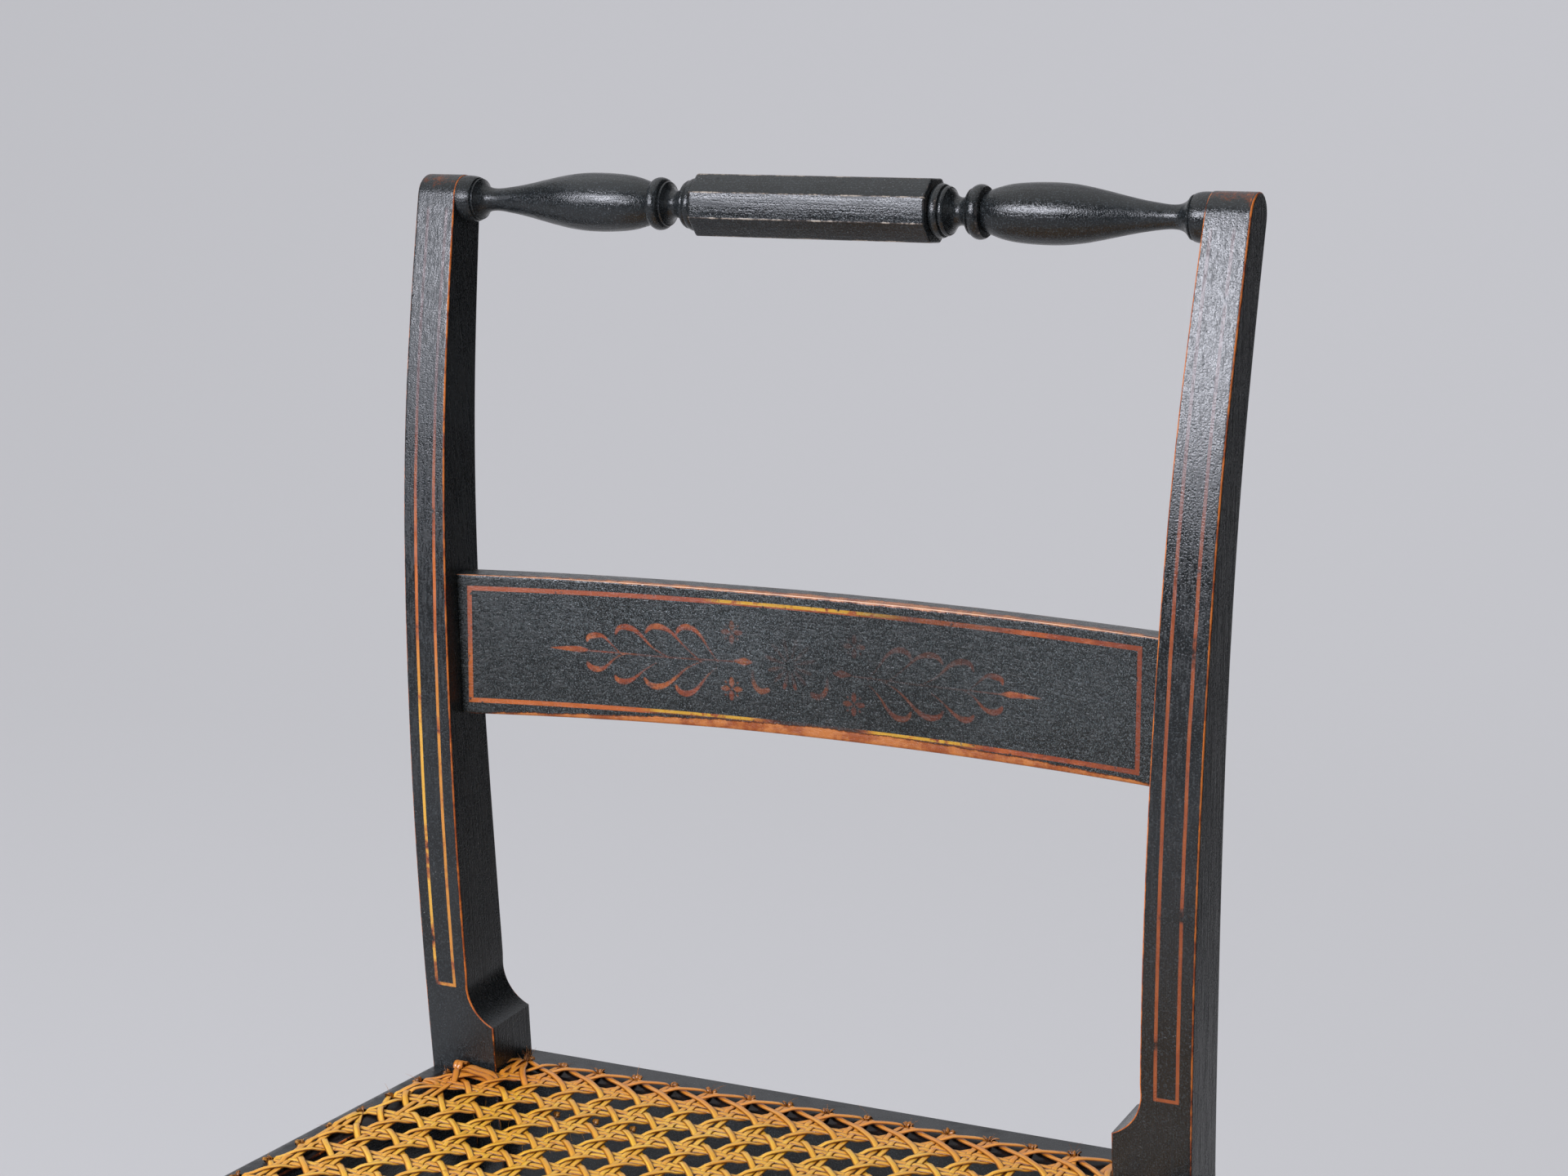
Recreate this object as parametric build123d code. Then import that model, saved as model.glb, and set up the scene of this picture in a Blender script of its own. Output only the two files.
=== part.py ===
from build123d import *
import math
import os

# Stenciled side chair with a turned crest rail and a hand-caned seat, in millimetres.
# X runs across the chair, +Y to its back and +Z up; the origin is on the floor under its middle.
# Left and right are as seen by someone who faces the front of the chair.

# Overall sizes
overall_depth = 440.0        # front of the front legs to the back of the rear feet
seat_height = 445.0          # floor to the top of the seat rails
back_rise = 398.0            # top of the seat rails to the top of the posts
front_width = 450.0          # over the front legs
rear_width = 362.0           # over the posts at the seat

# Seat frame
rail_width = 22.0            # side and front rails, seen from above
rail_height = 52.0
rear_rail_width = 22.6
rail_edge_round = 3.0        # outer top edge of the rails and of the leg tops
tenon_thickness = 9.0
tenon_shoulder = 6.0         # wood left above and below a tenon
side_tenon_length = 15.0
rear_tenon_length = 13.0
front_tenon_length = 14.0
glue_gap = 0.1               # all round a tenon in its mortise
mortise_extra = 1.0          # past the end of a tenon

# Rear posts, which run down as the rear legs
foot_kick = 54.4             # back of the rear foot behind the seat
foot_depth = 28.0
foot_width = 24.0
leg_sag = 0.28               # share of the foot's set-back reached half way down the leg
post_depth_seat = 31.5
post_set_quarter = -0.1      # set-back of the front face from the seat, at a quarter of the rise
post_set_half = 6.3
post_set_three = 20.8
post_depth_half = 28.2
post_depth_three = 25.4
crest_drop = 10.5            # axis of the crest rail below the half-round top of the posts
crest_back = 55.2            # axis of the crest rail behind the front of the seat block
top_lean = 16.6              # degrees, of the post at its top
block_width = 33.8           # square shoulder of the post at the seat
post_width_seat = 22.3
post_width_half = 21.6
post_width_top = 19.0
post_spread_half = 3.9       # outer edge of the post at half the rise, outside its place at the seat
post_spread_top = 9.1
shoulder_rise = 22.3         # top of the block above the seat
cove_rise = 18.7             # concave sweep from the block into the post

# Middle rail, bowed so that its ends come forward
middle_rail_bottom = 165.8   # above the seat
middle_rail_height = 60.5
middle_rail_thickness = 9.0
middle_rail_bow = 14.4
middle_rail_lean = 4.7       # top behind bottom
middle_rail_set = 29.7       # front face at mid length and bottom edge, behind the post front
middle_tenon_thickness = 6.0
middle_tenon_shoulder = 8.0
middle_tenon_length = 11.0

# Crest rail: an octagonal tablet between two turned ends
tablet_length = 108.0
tablet_across = 26.1
tablet_tilt = 7.0            # degrees, front facet turned up
crest_cup_radius = 10.7       # beside the tablet
crest_waist_radius = 5.8
crest_disc_radius = 10.6
crest_disc_from_tablet = 19.0
crest_disc_length = 3.4
crest_bulb_radius = 12.3
crest_bulb_length = 57.1     # disc to the groove at the bulb's thin end
crest_neck_radius = 4.9
crest_neck_length = 32.7
crest_collar_radius = 9.7    # against the post
crest_tenon_diameter = 11.0
crest_tenon_length = 12.0

# Front legs, turned below a square block
leg_block = 36.0
leg_block_height = 75.0
leg_top_radius = 15.5
leg_vase_radius = 17.5
leg_neck_radius = 10.5
leg_ankle_radius = 11.0
leg_full_radius = 15.2       # at the top of the long taper
leg_foot_radius = 14.5
leg_foot_height = 34.0

# Stretchers
stretcher_end_radius = 6.5
stretcher_mid_radius = 9.5
stretcher_swell = 0.4        # share of the length taken by the taper at each end
stretcher_tenon = 14.0
stretcher_in = 15.0          # side stretchers, in from the outside of the rear legs
upper_stretcher_height = 272.0
lower_stretcher_height = 152.0
cross_stretcher_height = 212.0
front_stretcher_ball = 15.0

# Turning
turning_sides = 14           # flats round a turned piece

# Cane
hole_pitch = 19.0
hole_diameter = 5.5
hole_sides = 6
rear_hole_inset = 12.6       # from the back of the seat
front_hole_inset = 12.0      # from the front of the seat
side_hole_inset = 8.0        # from the outside of a side rail
rear_corner_ahead = 7.1      # rear corner holes, in front of the seat block
rear_corner_in = 13.0        # and in from the outside of the post
front_corner_back = 19.0     # front corner holes, behind the front of the seat
front_corner_in = 21.0       # and in from the outside of the leg
corner_hole_depth = 20.0     # blind holes in the front legs
corner_bend = 2.4            # pitches over which a row bends to a corner hole
hole_reach = 0.75            # pitches from the last crossing of a diagonal to look for its hole
strand_width = 3.0
strand_thickness = 0.5
pair_offset = 2.0            # from the middle of a pair to each of its strands

# Places that follow from the sizes
front_y = -overall_depth / 2
foot_back_y = overall_depth / 2
seat_back_y = foot_back_y - foot_kick
block_front_y = seat_back_y - post_depth_seat
leg_back_y = front_y + leg_block
post_outer_x = rear_width / 2
block_inner_x = post_outer_x - block_width
leg_outer_x = front_width / 2
leg_inner_x = leg_outer_x - leg_block
leg_axis_x = leg_outer_x - leg_block / 2
leg_axis_y = front_y + leg_block / 2
seat_under = seat_height - rail_height
crest_y = block_front_y + crest_back
crest_z = seat_height + back_rise - crest_drop
rail_slope = (leg_outer_x - post_outer_x) / (block_front_y - leg_back_y)
hole_row_y = seat_back_y - rear_hole_inset
front_row_y = front_y + front_hole_inset
row_count = round((hole_row_y - front_row_y) / hole_pitch)
row_pitch = (hole_row_y - front_row_y) / row_count


# ---------------------------------------------------------------- helpers

def wire_through(runs):
    # Two points make a line, three an arc and more a smooth curve.
    edges = []
    for run in runs:
        if len(run) == 2:
            edges.append(Line(run[0], run[1]))
        elif len(run) == 3:
            edges.append(ThreePointArc(run[0], run[1], run[2]))
        else:
            edges.append(Spline(*run))
    return edges


def turned(runs, sides=turning_sides):
    # A lathe-turned solid about Z, from runs of (radius, height) points.
    # It has flats all round, which keeps the facets of the whole chair few.
    profile = []
    edges = wire_through(runs)
    for run, edge in zip(runs, edges):
        steps = len(run) - 1
        profile += [edge @ (i / steps) for i in range(steps)]
    profile.append(edges[-1] @ 1)
    rings = []
    for point in profile:
        turns = [2 * math.pi * i / sides for i in range(sides)]
        rings.append([Vector(point.X * math.cos(t), point.X * math.sin(t), point.Y) for t in turns])
    faces = [make_face(Polyline(*ring, close=True)) for ring in (rings[0], rings[-1])]
    for low, high in zip(rings, rings[1:]):
        for i in range(sides):
            corners = [low[i - 1], low[i], high[i], high[i - 1]]
            faces.append(make_face(Polyline(*corners, close=True)))
    return Solid(Shell([face.face() for face in faces]))


def round_bar(radius, low, high):
    return turned([[(radius, low), (radius, high)]])


def span(start, end, solid):
    # Lays a solid that stands on the origin along the line from start to end.
    direction = Vector(*end) - Vector(*start)
    return Plane(origin=start, z_dir=direction) * solid


def between_heights(outline, bottom, top):
    # An outline seen from above, raised between two heights.
    face = make_face(Polyline(*outline, close=True))
    return extrude(Plane.XY.offset(bottom) * face, amount=top - bottom)


def block_between(low, high):
    size = [high[i] - low[i] for i in range(3)]
    middle = [(high[i] + low[i]) / 2 for i in range(3)]
    return Pos(*middle) * Box(*size)


def other_side(solid):
    return mirror(solid, about=Plane.YZ)


# ---------------------------------------------------------------- seat frame places

def rail_outer_x(y):
    # Outside of a side rail at a place along the chair.
    return post_outer_x + (block_front_y - y) * rail_slope


def side_rail_outline(from_y, to_y, inset, thickness):
    # A band along the side rail, inset from its outside.
    return [
        (rail_outer_x(from_y) - inset, from_y),
        (rail_outer_x(to_y) - inset, to_y),
        (rail_outer_x(to_y) - inset - thickness, to_y),
        (rail_outer_x(from_y) - inset - thickness, from_y),
    ]


def side_rail_tenons(gap, extra):
    # Both tenons of the right side rail, or with a gap their mortises.
    inset = (rail_width - tenon_thickness) / 2 - gap
    thickness = tenon_thickness + 2 * gap
    low = seat_under + tenon_shoulder - gap
    high = seat_height - tenon_shoulder + gap
    back_end = block_front_y + side_tenon_length + extra
    front_end = leg_back_y - side_tenon_length - extra
    back = between_heights(side_rail_outline(block_front_y - 2, back_end, inset, thickness), low, high)
    front = between_heights(side_rail_outline(leg_back_y + 2, front_end, inset, thickness), low, high)
    return [back, front]


def cross_rail_tenon(shoulder_x, length, rail_middle_y, gap, extra):
    # The right tenon of the rear or front rail, or its mortise.
    half = tenon_thickness / 2 + gap
    low = (shoulder_x - 2, rail_middle_y - half, seat_under + tenon_shoulder - gap)
    high = (shoulder_x + length + extra, rail_middle_y + half, seat_height - tenon_shoulder + gap)
    return block_between(low, high)


def rear_rail_tenon(gap=0.0, extra=0.0):
    middle = seat_back_y - rear_rail_width / 2
    return cross_rail_tenon(block_inner_x, rear_tenon_length, middle, gap, extra)


def front_rail_tenon(gap=0.0, extra=0.0):
    middle = front_y + rail_width / 2
    return cross_rail_tenon(leg_inner_x, front_tenon_length, middle, gap, extra)


# ---------------------------------------------------------------- cane hole places

def lattice_x(column):
    # Column 0 is half a pitch to the right of the middle.
    return (column + 0.5) * hole_pitch


def row_y(row):
    return hole_row_y - row * row_pitch


def side_hole_x(y):
    return rail_outer_x(y) - side_hole_inset


rear_corner_hole = (post_outer_x - rear_corner_in, block_front_y - rear_corner_ahead)
front_corner_hole = (leg_outer_x - front_corner_in, front_y + front_corner_back)
side_clear = hole_diameter / 2 + 1.5     # wood between a hole and the next piece
rear_columns = math.floor((block_inner_x - side_clear) / hole_pitch + 0.5)
front_columns = math.floor((leg_inner_x - side_clear) / hole_pitch + 0.5)
rear_holes = [(lattice_x(c), hole_row_y) for c in range(rear_columns)]
front_holes = [(lattice_x(c), front_row_y) for c in range(front_columns)]
side_rows = [
    r for r in range(1, row_count)
    if row_y(r) < rear_corner_hole[1] - 2 * side_clear and row_y(r) > leg_back_y + side_clear
]
side_holes = [(side_hole_x(row_y(r)), row_y(r)) for r in side_rows]


def drill(places, bottom, both_sides):
    # Cane holes from the top of the seat down to a height.
    bit = extrude(RegularPolygon(hole_diameter / 2, hole_sides), amount=seat_height + 1 - bottom)
    sides = (1, -1) if both_sides else (1,)
    return [Pos(side * x, y, bottom) * bit for x, y in places for side in sides]


# ---------------------------------------------------------------- rear posts

def station(share, set_back):
    # A place on the side view, at a share of the rise and behind the front of the seat block.
    return Vector(block_front_y + set_back, seat_height + share * back_rise)


def post_side_view():
    # The sabre-curved plank seen from the side.
    foot_front = foot_back_y - foot_depth
    half_leg = seat_height / 2
    half_front = block_front_y + (foot_front - block_front_y) * leg_sag
    half_back = seat_back_y + foot_kick * leg_sag
    lean = math.radians(top_lean)
    across = Vector(-math.cos(lean), math.sin(lean)) * crest_drop
    along = Vector(math.sin(lean), math.cos(lean)) * crest_drop
    centre = Vector(crest_y, crest_z)
    front_set = [(0.25, post_set_quarter), (0.5, post_set_half), (0.75, post_set_three)]
    back_set = [
        (0.25, post_set_quarter + post_depth_seat),
        (0.5, post_set_half + post_depth_half),
        (0.75, post_set_three + post_depth_three),
    ]
    front = [Vector(foot_front, 0), Vector(half_front, half_leg), Vector(block_front_y, seat_height)]
    front += [station(share, set_back) for share, set_back in front_set]
    front.append(centre + across)
    back = [Vector(foot_back_y, 0), Vector(half_back, half_leg), Vector(seat_back_y, seat_height)]
    back += [station(share, set_back) for share, set_back in back_set]
    back.append(centre - across)
    edges = [
        Spline(*front),
        ThreePointArc(front[-1], centre + along, back[-1]),
        Spline(*back),
        Line(front[0], back[0]),
    ]
    return make_face(edges)


top_margin = 1.0     # the outlines seen from the front run past the half-round top


def post_inner_edge():
    # Inner edge of the right post above the cove, seen from the front.
    half = post_outer_x + post_spread_half - post_width_half
    top = post_outer_x + post_spread_top - post_width_top
    return [
        (post_outer_x - post_width_seat + 1.0, seat_height + shoulder_rise + cove_rise),
        (half, seat_height + back_rise / 2),
        (half + (top - half) * 0.4, seat_height + back_rise * 0.75),
        (top, seat_height + back_rise + top_margin),
    ]


def post_front_view():
    inner = post_inner_edge()
    shoulder = (block_inner_x, seat_height + shoulder_rise)
    under = (block_inner_x, seat_under)
    foot_inner = (post_outer_x - foot_width, 0)
    foot_outer = (post_outer_x, 0)
    seat_outer = (post_outer_x, seat_height)
    half_outer = (post_outer_x + post_spread_half, seat_height + back_rise / 2)
    top_outer = (post_outer_x + post_spread_top, seat_height + back_rise + top_margin)
    edges = [
        Spline(*inner),
        TangentArc(inner[0], shoulder, tangent=(0, -1)),
        Line(shoulder, under),
        Line(under, foot_inner),
        Line(foot_inner, foot_outer),
        Line(foot_outer, seat_outer),
        ThreePointArc(seat_outer, half_outer, top_outer),
        Line(top_outer, inner[-1]),
    ]
    return make_face(edges)


def right_post():
    side = extrude(Plane.YZ * post_side_view(), amount=front_width)
    front = extrude(Plane.XZ.offset(-overall_depth) * post_front_view(), amount=2 * overall_depth)
    post = side & front
    post -= rear_rail_tenon(glue_gap, mortise_extra)
    post -= side_rail_tenons(glue_gap, mortise_extra)[0]
    post -= middle_rail_tenon(glue_gap, mortise_extra)
    post -= crest_tenon(glue_gap, mortise_extra)
    post -= side_stretcher(upper_stretcher_height, glue_gap, mortise_extra)
    post -= side_stretcher(lower_stretcher_height, glue_gap, mortise_extra)
    post -= rear_stretcher(glue_gap, mortise_extra)
    return post


def space_between_posts():
    # Everything between the inner faces of the two posts above the seat.
    inner = post_inner_edge()
    right = Spline(*inner)
    left = Spline(*[(-x, z) for x, z in inner])
    low = Line(inner[0], (-inner[0][0], inner[0][1]))
    high = Line(inner[-1], (-inner[-1][0], inner[-1][1]))
    face = make_face([right, left, low, high])
    return extrude(Plane.XZ.offset(-overall_depth) * face, amount=2 * overall_depth)


# ---------------------------------------------------------------- middle rail

def middle_rail_front_y(x, height_share):
    # Front face of the bowed board; height_share is 0 at its bottom edge and 1 at its top.
    bow = middle_rail_bow * (x / (post_outer_x - post_width_half)) ** 2
    return block_front_y + middle_rail_set + middle_rail_lean * height_share - bow


def middle_rail_tenon(gap=0.0, extra=0.0):
    end_x = post_outer_x + post_spread_half - post_width_half
    half_thick = middle_tenon_thickness / 2 + gap
    half_high = middle_rail_height / 2 - middle_tenon_shoulder + gap
    centre_y = middle_rail_front_y(end_x, 0.5) + middle_rail_thickness / 2
    centre_z = seat_height + middle_rail_bottom + middle_rail_height / 2
    low = (end_x - 4, centre_y - half_thick, centre_z - half_high)
    high = (end_x + middle_tenon_length + extra, centre_y + half_thick, centre_z + half_high)
    return block_between(low, high)


def middle_rail():
    reach = post_outer_x
    front = [(x, middle_rail_front_y(x, 0)) for x in (-reach, 0, reach)]
    back = [(x, y + middle_rail_thickness) for x, y in front]
    edges = [
        ThreePointArc(*front),
        ThreePointArc(*back),
        Line(front[0], back[0]),
        Line(front[-1], back[-1]),
    ]
    bottom = Plane.XY.offset(seat_height + middle_rail_bottom) * make_face(edges)
    rise = Vector(0, middle_rail_lean, middle_rail_height)
    board = extrude(bottom, amount=rise.length, dir=rise.normalized())
    board = board & space_between_posts()
    tenon = middle_rail_tenon()
    return board + tenon + other_side(tenon)


# ---------------------------------------------------------------- crest rail

def crest_axis_plane():
    # Z of this plane runs to the right along the axis of the crest rail.
    return Plane(origin=(0, crest_y, crest_z), z_dir=(1, 0, 0))


def crest_end():
    # The right turned end, as runs of (radius, distance from the middle of the chair).
    start = tablet_length / 2
    end = post_outer_x + post_spread_top
    disc = start + crest_disc_from_tablet
    bulb = disc + crest_disc_length
    groove = bulb + crest_bulb_length
    collar = groove + crest_neck_length
    neck = crest_neck_radius
    disc_bead = crest_disc_radius - 1.6
    return turned([
        [(crest_cup_radius - 1.7, start - 4), (crest_cup_radius - 1.7, start + 2)],
        [(crest_cup_radius - 1.7, start + 2), (crest_cup_radius, start + 4.6),
         (crest_cup_radius - 1, start + 6)],
        [(crest_cup_radius - 1, start + 6), (crest_waist_radius, start + 6.4)],
        [(crest_waist_radius, start + 6.4), (crest_waist_radius + 0.7, start + 7.4),
         (crest_waist_radius, start + 8.4)],
        [(crest_waist_radius, start + 8.4), (crest_waist_radius, start + 12), (disc_bead, disc - 2.4)],
        [(disc_bead, disc - 2.4), (disc_bead, disc - 0.8)],
        [(disc_bead, disc - 0.8), (crest_disc_radius, disc)],
        [(crest_disc_radius, disc), (crest_disc_radius, bulb - 0.4)],
        [(crest_disc_radius, bulb - 0.4), (crest_disc_radius - 2.1, bulb)],
        [(crest_disc_radius - 2.1, bulb), (crest_bulb_radius - 2.9, bulb + 7.6),
         (crest_bulb_radius - 0.5, bulb + 15), (crest_bulb_radius, bulb + 24),
         (crest_bulb_radius - 0.8, bulb + 36), (crest_bulb_radius - 3.9, groove - 4)],
        [(crest_bulb_radius - 3.9, groove - 4), (crest_bulb_radius - 4.4, groove)],
        [(crest_bulb_radius - 4.4, groove), (neck + 2, groove + 2.5)],
        [(neck + 2, groove + 2.5), (neck + 1.5, groove + 9)],
        [(neck + 1.5, groove + 9), (neck + 0.7, groove + 11.5)],
        [(neck + 0.7, groove + 11.5), (neck, groove + 21), (neck + 2.2, groove + 27.5)],
        [(neck + 2.2, groove + 27.5), (crest_collar_radius - 0.9, collar - 1.8)],
        [(crest_collar_radius - 0.9, collar - 1.8), (crest_collar_radius, collar)],
        [(crest_collar_radius, collar), (crest_collar_radius, end)],
    ])


def crest_tenon(gap=0.0, extra=0.0):
    shoulder = post_outer_x + post_spread_top - post_width_top
    peg = round_bar(crest_tenon_diameter / 2 + gap, shoulder - 4, shoulder + crest_tenon_length + extra)
    return crest_axis_plane() * peg


def crest_tablet():
    corner_radius = tablet_across / 2 / math.cos(math.radians(22.5))
    octagon = RegularPolygon(corner_radius, 8, rotation=22.5 + tablet_tilt)
    return crest_axis_plane() * Pos(0, 0, -tablet_length / 2) * extrude(octagon, amount=tablet_length)


def crest_rail():
    end = crest_axis_plane() * crest_end() & space_between_posts()
    end = end + crest_tenon()
    return crest_tablet() + end + other_side(end)


# ---------------------------------------------------------------- seat rails

def rear_seat_rail():
    low = (-block_inner_x, seat_back_y - rear_rail_width, seat_under)
    high = (block_inner_x, seat_back_y, seat_height)
    tenon = rear_rail_tenon()
    rail = block_between(low, high) + tenon + other_side(tenon)
    return rail - drill(rear_holes, seat_under - 1, True)


def front_seat_rail():
    low = (-leg_inner_x, front_y, seat_under)
    high = (leg_inner_x, front_y + rail_width, seat_height)
    rail = block_between(low, high)
    top_front = rail.edges().filter_by(Axis.X).group_by(Axis.Z)[-1].sort_by(Axis.Y)[0]
    rail = fillet(top_front, rail_edge_round)
    tenon = front_rail_tenon()
    rail = rail + tenon + other_side(tenon)
    return rail - drill(front_holes, seat_under - 1, True)


def right_side_rail():
    outline = side_rail_outline(block_front_y, leg_back_y, 0, rail_width)
    rail = between_heights(outline, seat_under, seat_height)
    top = rail.faces().sort_by(Axis.Z)[-1]
    outer = top.edges().sort_by(Axis.X)[-1]
    rail = fillet(outer, rail_edge_round)
    rail = rail + side_rail_tenons(0, 0)
    return rail - drill(side_holes + [rear_corner_hole], seat_under - 1, False)


# ---------------------------------------------------------------- front legs

def right_front_leg():
    shank_top = seat_height - leg_block_height
    ring = shank_top - 92
    foot = leg_foot_height
    taper = ring - foot
    full = leg_full_radius
    vase = leg_vase_radius
    neck = leg_neck_radius
    ankle = leg_ankle_radius
    leg = turned([
        [(leg_foot_radius - 4, 0), (leg_foot_radius, 9), (ankle - 1, foot - 8)],
        [(ankle - 1, foot - 8), (ankle + 3, foot - 4.5), (ankle, foot)],
        [(ankle, foot), (full - 0.6, foot + taper * 0.65), (full - 1, ring)],
        [(full - 1, ring), (full + 1.6, ring + 5), (full + 0.6, ring + 9)],
        [(full + 0.6, ring + 9), (neck, ring + 11)],
        [(neck, ring + 11), (neck + 1.5, ring + 18), (vase - 1.5, ring + 32), (vase, ring + 42),
         (vase - 1.5, ring + 54), (neck, ring + 70)],
        [(neck, ring + 70), (leg_top_radius - 2, ring + 72)],
        [(leg_top_radius - 2, ring + 72), (leg_top_radius + 1, ring + 75), (leg_top_radius - 2, ring + 78)],
        [(leg_top_radius - 2, ring + 78), (neck + 1, ring + 80)],
        [(neck + 1, ring + 80), (neck + 2, ring + 86), (leg_top_radius, shank_top)],
        [(leg_top_radius, shank_top), (leg_top_radius, shank_top + 2)],
    ])
    leg = Pos(leg_axis_x, leg_axis_y, 0) * leg
    block = block_between((leg_inner_x, front_y, shank_top), (leg_outer_x, leg_back_y, seat_height))
    top = block.faces().sort_by(Axis.Z)[-1]
    side_edge = top.edges().filter_by(Axis.Y).sort_by(Axis.X)[-1]
    front_edge = top.edges().filter_by(Axis.X).sort_by(Axis.Y)[0]
    block = fillet([side_edge, front_edge], rail_edge_round)
    leg = leg + block
    leg -= front_rail_tenon(glue_gap, mortise_extra)
    leg -= side_rail_tenons(glue_gap, mortise_extra)[1]
    leg -= side_stretcher(upper_stretcher_height, glue_gap, mortise_extra)
    leg -= side_stretcher(lower_stretcher_height, glue_gap, mortise_extra)
    leg -= front_stretcher(glue_gap, mortise_extra)
    return leg - drill([front_corner_hole], seat_height - corner_hole_depth, False)


# ---------------------------------------------------------------- stretchers

def leg_front_at(height):
    # Front face of the rear leg below the seat, close enough for the depth of a socket.
    share = 1 - height / seat_height
    return block_front_y + (foot_back_y - foot_depth - block_front_y) * share ** math.log(leg_sag, 0.5)


def leg_inner_at(height):
    return block_inner_x + (block_width - foot_width) * (1 - height / seat_under)


def plain_spindle(length, gap, extra):
    # A stretcher that swells towards its middle; with a gap, what it takes out of the legs.
    end = stretcher_end_radius + gap
    middle = stretcher_mid_radius + gap
    return turned([
        [(end, -extra), (end, stretcher_tenon)],
        [(end, stretcher_tenon), (middle, length * stretcher_swell)],
        [(middle, length * stretcher_swell), (middle, length * (1 - stretcher_swell))],
        [(middle, length * (1 - stretcher_swell)), (end, length - stretcher_tenon)],
        [(end, length - stretcher_tenon), (end, length + extra)],
    ])


def side_stretcher(height, gap=0.0, extra=0.0):
    back = (post_outer_x - stretcher_in, leg_front_at(height) + stretcher_tenon, height)
    front = (leg_axis_x, leg_axis_y + 1, height)
    length = (Vector(*back) - Vector(*front)).length
    return span(front, back, plain_spindle(length, gap, extra))


def rear_stretcher(gap=0.0, extra=0.0):
    x = leg_inner_at(cross_stretcher_height) + stretcher_tenon
    y = leg_front_at(cross_stretcher_height) + foot_depth / 2 + 1
    left = (-x, y, cross_stretcher_height)
    right = (x, y, cross_stretcher_height)
    return span(left, right, plain_spindle(2 * x, gap, extra))


def front_stretcher(gap=0.0, extra=0.0):
    # Turned: a ball between rings at the middle, and a long vase to each side.
    half = leg_axis_x - 1
    end = stretcher_end_radius + gap
    reach = half - stretcher_tenon
    ring = front_stretcher_ball - 3
    right = [
        [(front_stretcher_ball, 0), (front_stretcher_ball - 1, 6), (10.0, 13), (8.0, 15)],
        [(8.0, 15), (ring, 16)],
        [(ring, 16), (ring, 19)],
        [(ring, 19), (7.5, 20)],
        [(7.5, 20), (7.5, 23), (10.5, 34), (11.8, 48), (11.0, 66), (8.2, 92)],
        [(8.2, 92), (10.0, 95), (9.4, 98)],
        [(9.4, 98), (7.0, 99)],
        [(7.0, 99), (9.0, 124), (8.5, 150), (end, reach)],
        [(end, reach), (end, half + extra)],
    ]
    left = [[(r, -z) for r, z in reversed(run)] for run in reversed(right)]
    spindle = turned(left + right)
    return Plane(origin=(0, leg_axis_y, cross_stretcher_height), z_dir=(1, 0, 0)) * spindle


# ---------------------------------------------------------------- cane

def strand_outline(points):
    # A flat strand along a few points, with mitred bends.
    half = strand_width / 2
    places = [Vector(*p) for p in points]
    left = []
    right = []
    for i, place in enumerate(places):
        before = (place - places[i - 1]).normalized() if i > 0 else None
        after = (places[i + 1] - place).normalized() if i < len(places) - 1 else None
        along = (before or after) + (after or before)
        along = along.normalized()
        across = Vector(-along.Y, along.X)
        side = across * (half / max(across.dot(Vector(-(before or after).Y, (before or after).X)), 0.5))
        reach = along * (half if before is None or after is None else 0)
        if before is None:
            reach = -reach
        left.append(place + side + reach)
        right.append(place - side + reach)
    return make_face(Polyline(*(left + right[::-1]), close=True))


def strands(routes, layer):
    # All strands of one layer; those that share a hole join there.
    faces = [strand_outline(route) for route in routes]
    sheet = faces[0].fuse(*faces[1:])
    z = seat_height + layer * strand_thickness
    return extrude(Plane.XY.offset(z) * sheet, amount=strand_thickness)


def pair_route(start, end, lane, along_y, side):
    # One strand of a pair: out of a hole, along its lane, and into the far hole.
    lane_at = lane + side * pair_offset
    run_in = 0.8 * hole_pitch
    if along_y:
        return [start, (lane_at, start[1] - run_in), (lane_at, end[1] + run_in), end]
    lead = corner_bend * hole_pitch if abs(start[1] - lane) > 1 else run_in
    return [start, (start[0] + lead, lane_at), (end[0] - lead, lane_at), end]


def all_holes():
    right = rear_holes + front_holes + side_holes + [rear_corner_hole, front_corner_hole]
    return right + [(-x, y) for x, y in right]


def nearest_hole(x, y):
    return min(all_holes(), key=lambda hole: math.dist(hole, (x, y)))


def front_to_back_routes(side):
    # Side is -1 for the left strand of each pair and 1 for the right one.
    routes = []
    for column in range(front_columns + 1):
        x = lattice_x(column)
        if column < rear_columns:
            start = (x, hole_row_y)
        else:
            start = min([rear_corner_hole] + side_holes, key=lambda hole: abs(hole[0] - x))
        end = (x, front_row_y) if column < front_columns else front_corner_hole
        for way in (1, -1):
            ends = [(way * start[0], start[1]), (way * end[0], end[1])]
            routes.append(pair_route(ends[0], ends[1], way * x, True, side))
    return routes


def side_to_side_routes(side):
    routes = []
    for row in range(1, row_count):
        y = row_y(row)
        if y > side_holes[0][1] + 1:
            end = rear_corner_hole
        elif y < side_holes[-1][1] - 1:
            end = front_corner_hole
        else:
            end = (side_hole_x(y), y)
        routes.append(pair_route((-end[0], end[1]), end, y, False, side))
    return routes


def beside_block(x, y):
    # Whether a place is under or too close to a post's seat block.
    return abs(x) > block_inner_x - side_clear and y > block_front_y - side_clear


def over_the_opening(x, y):
    # Whether a place lies over the opening of the seat, clear of the holes.
    return abs(x) < side_hole_x(y) - side_clear and front_row_y < y < hole_row_y


def diagonal_crossings(first):
    # Places where one diagonal crosses the pairs, half way between their own crossings.
    found = []
    for half_step in range(1, 2 * row_count):
        place = (lattice_x(first + half_step / 2), hole_row_y - half_step * row_pitch / 2)
        if beside_block(*place):
            found = []
        elif over_the_opening(*place):
            found.append(place)
    return found


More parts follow.
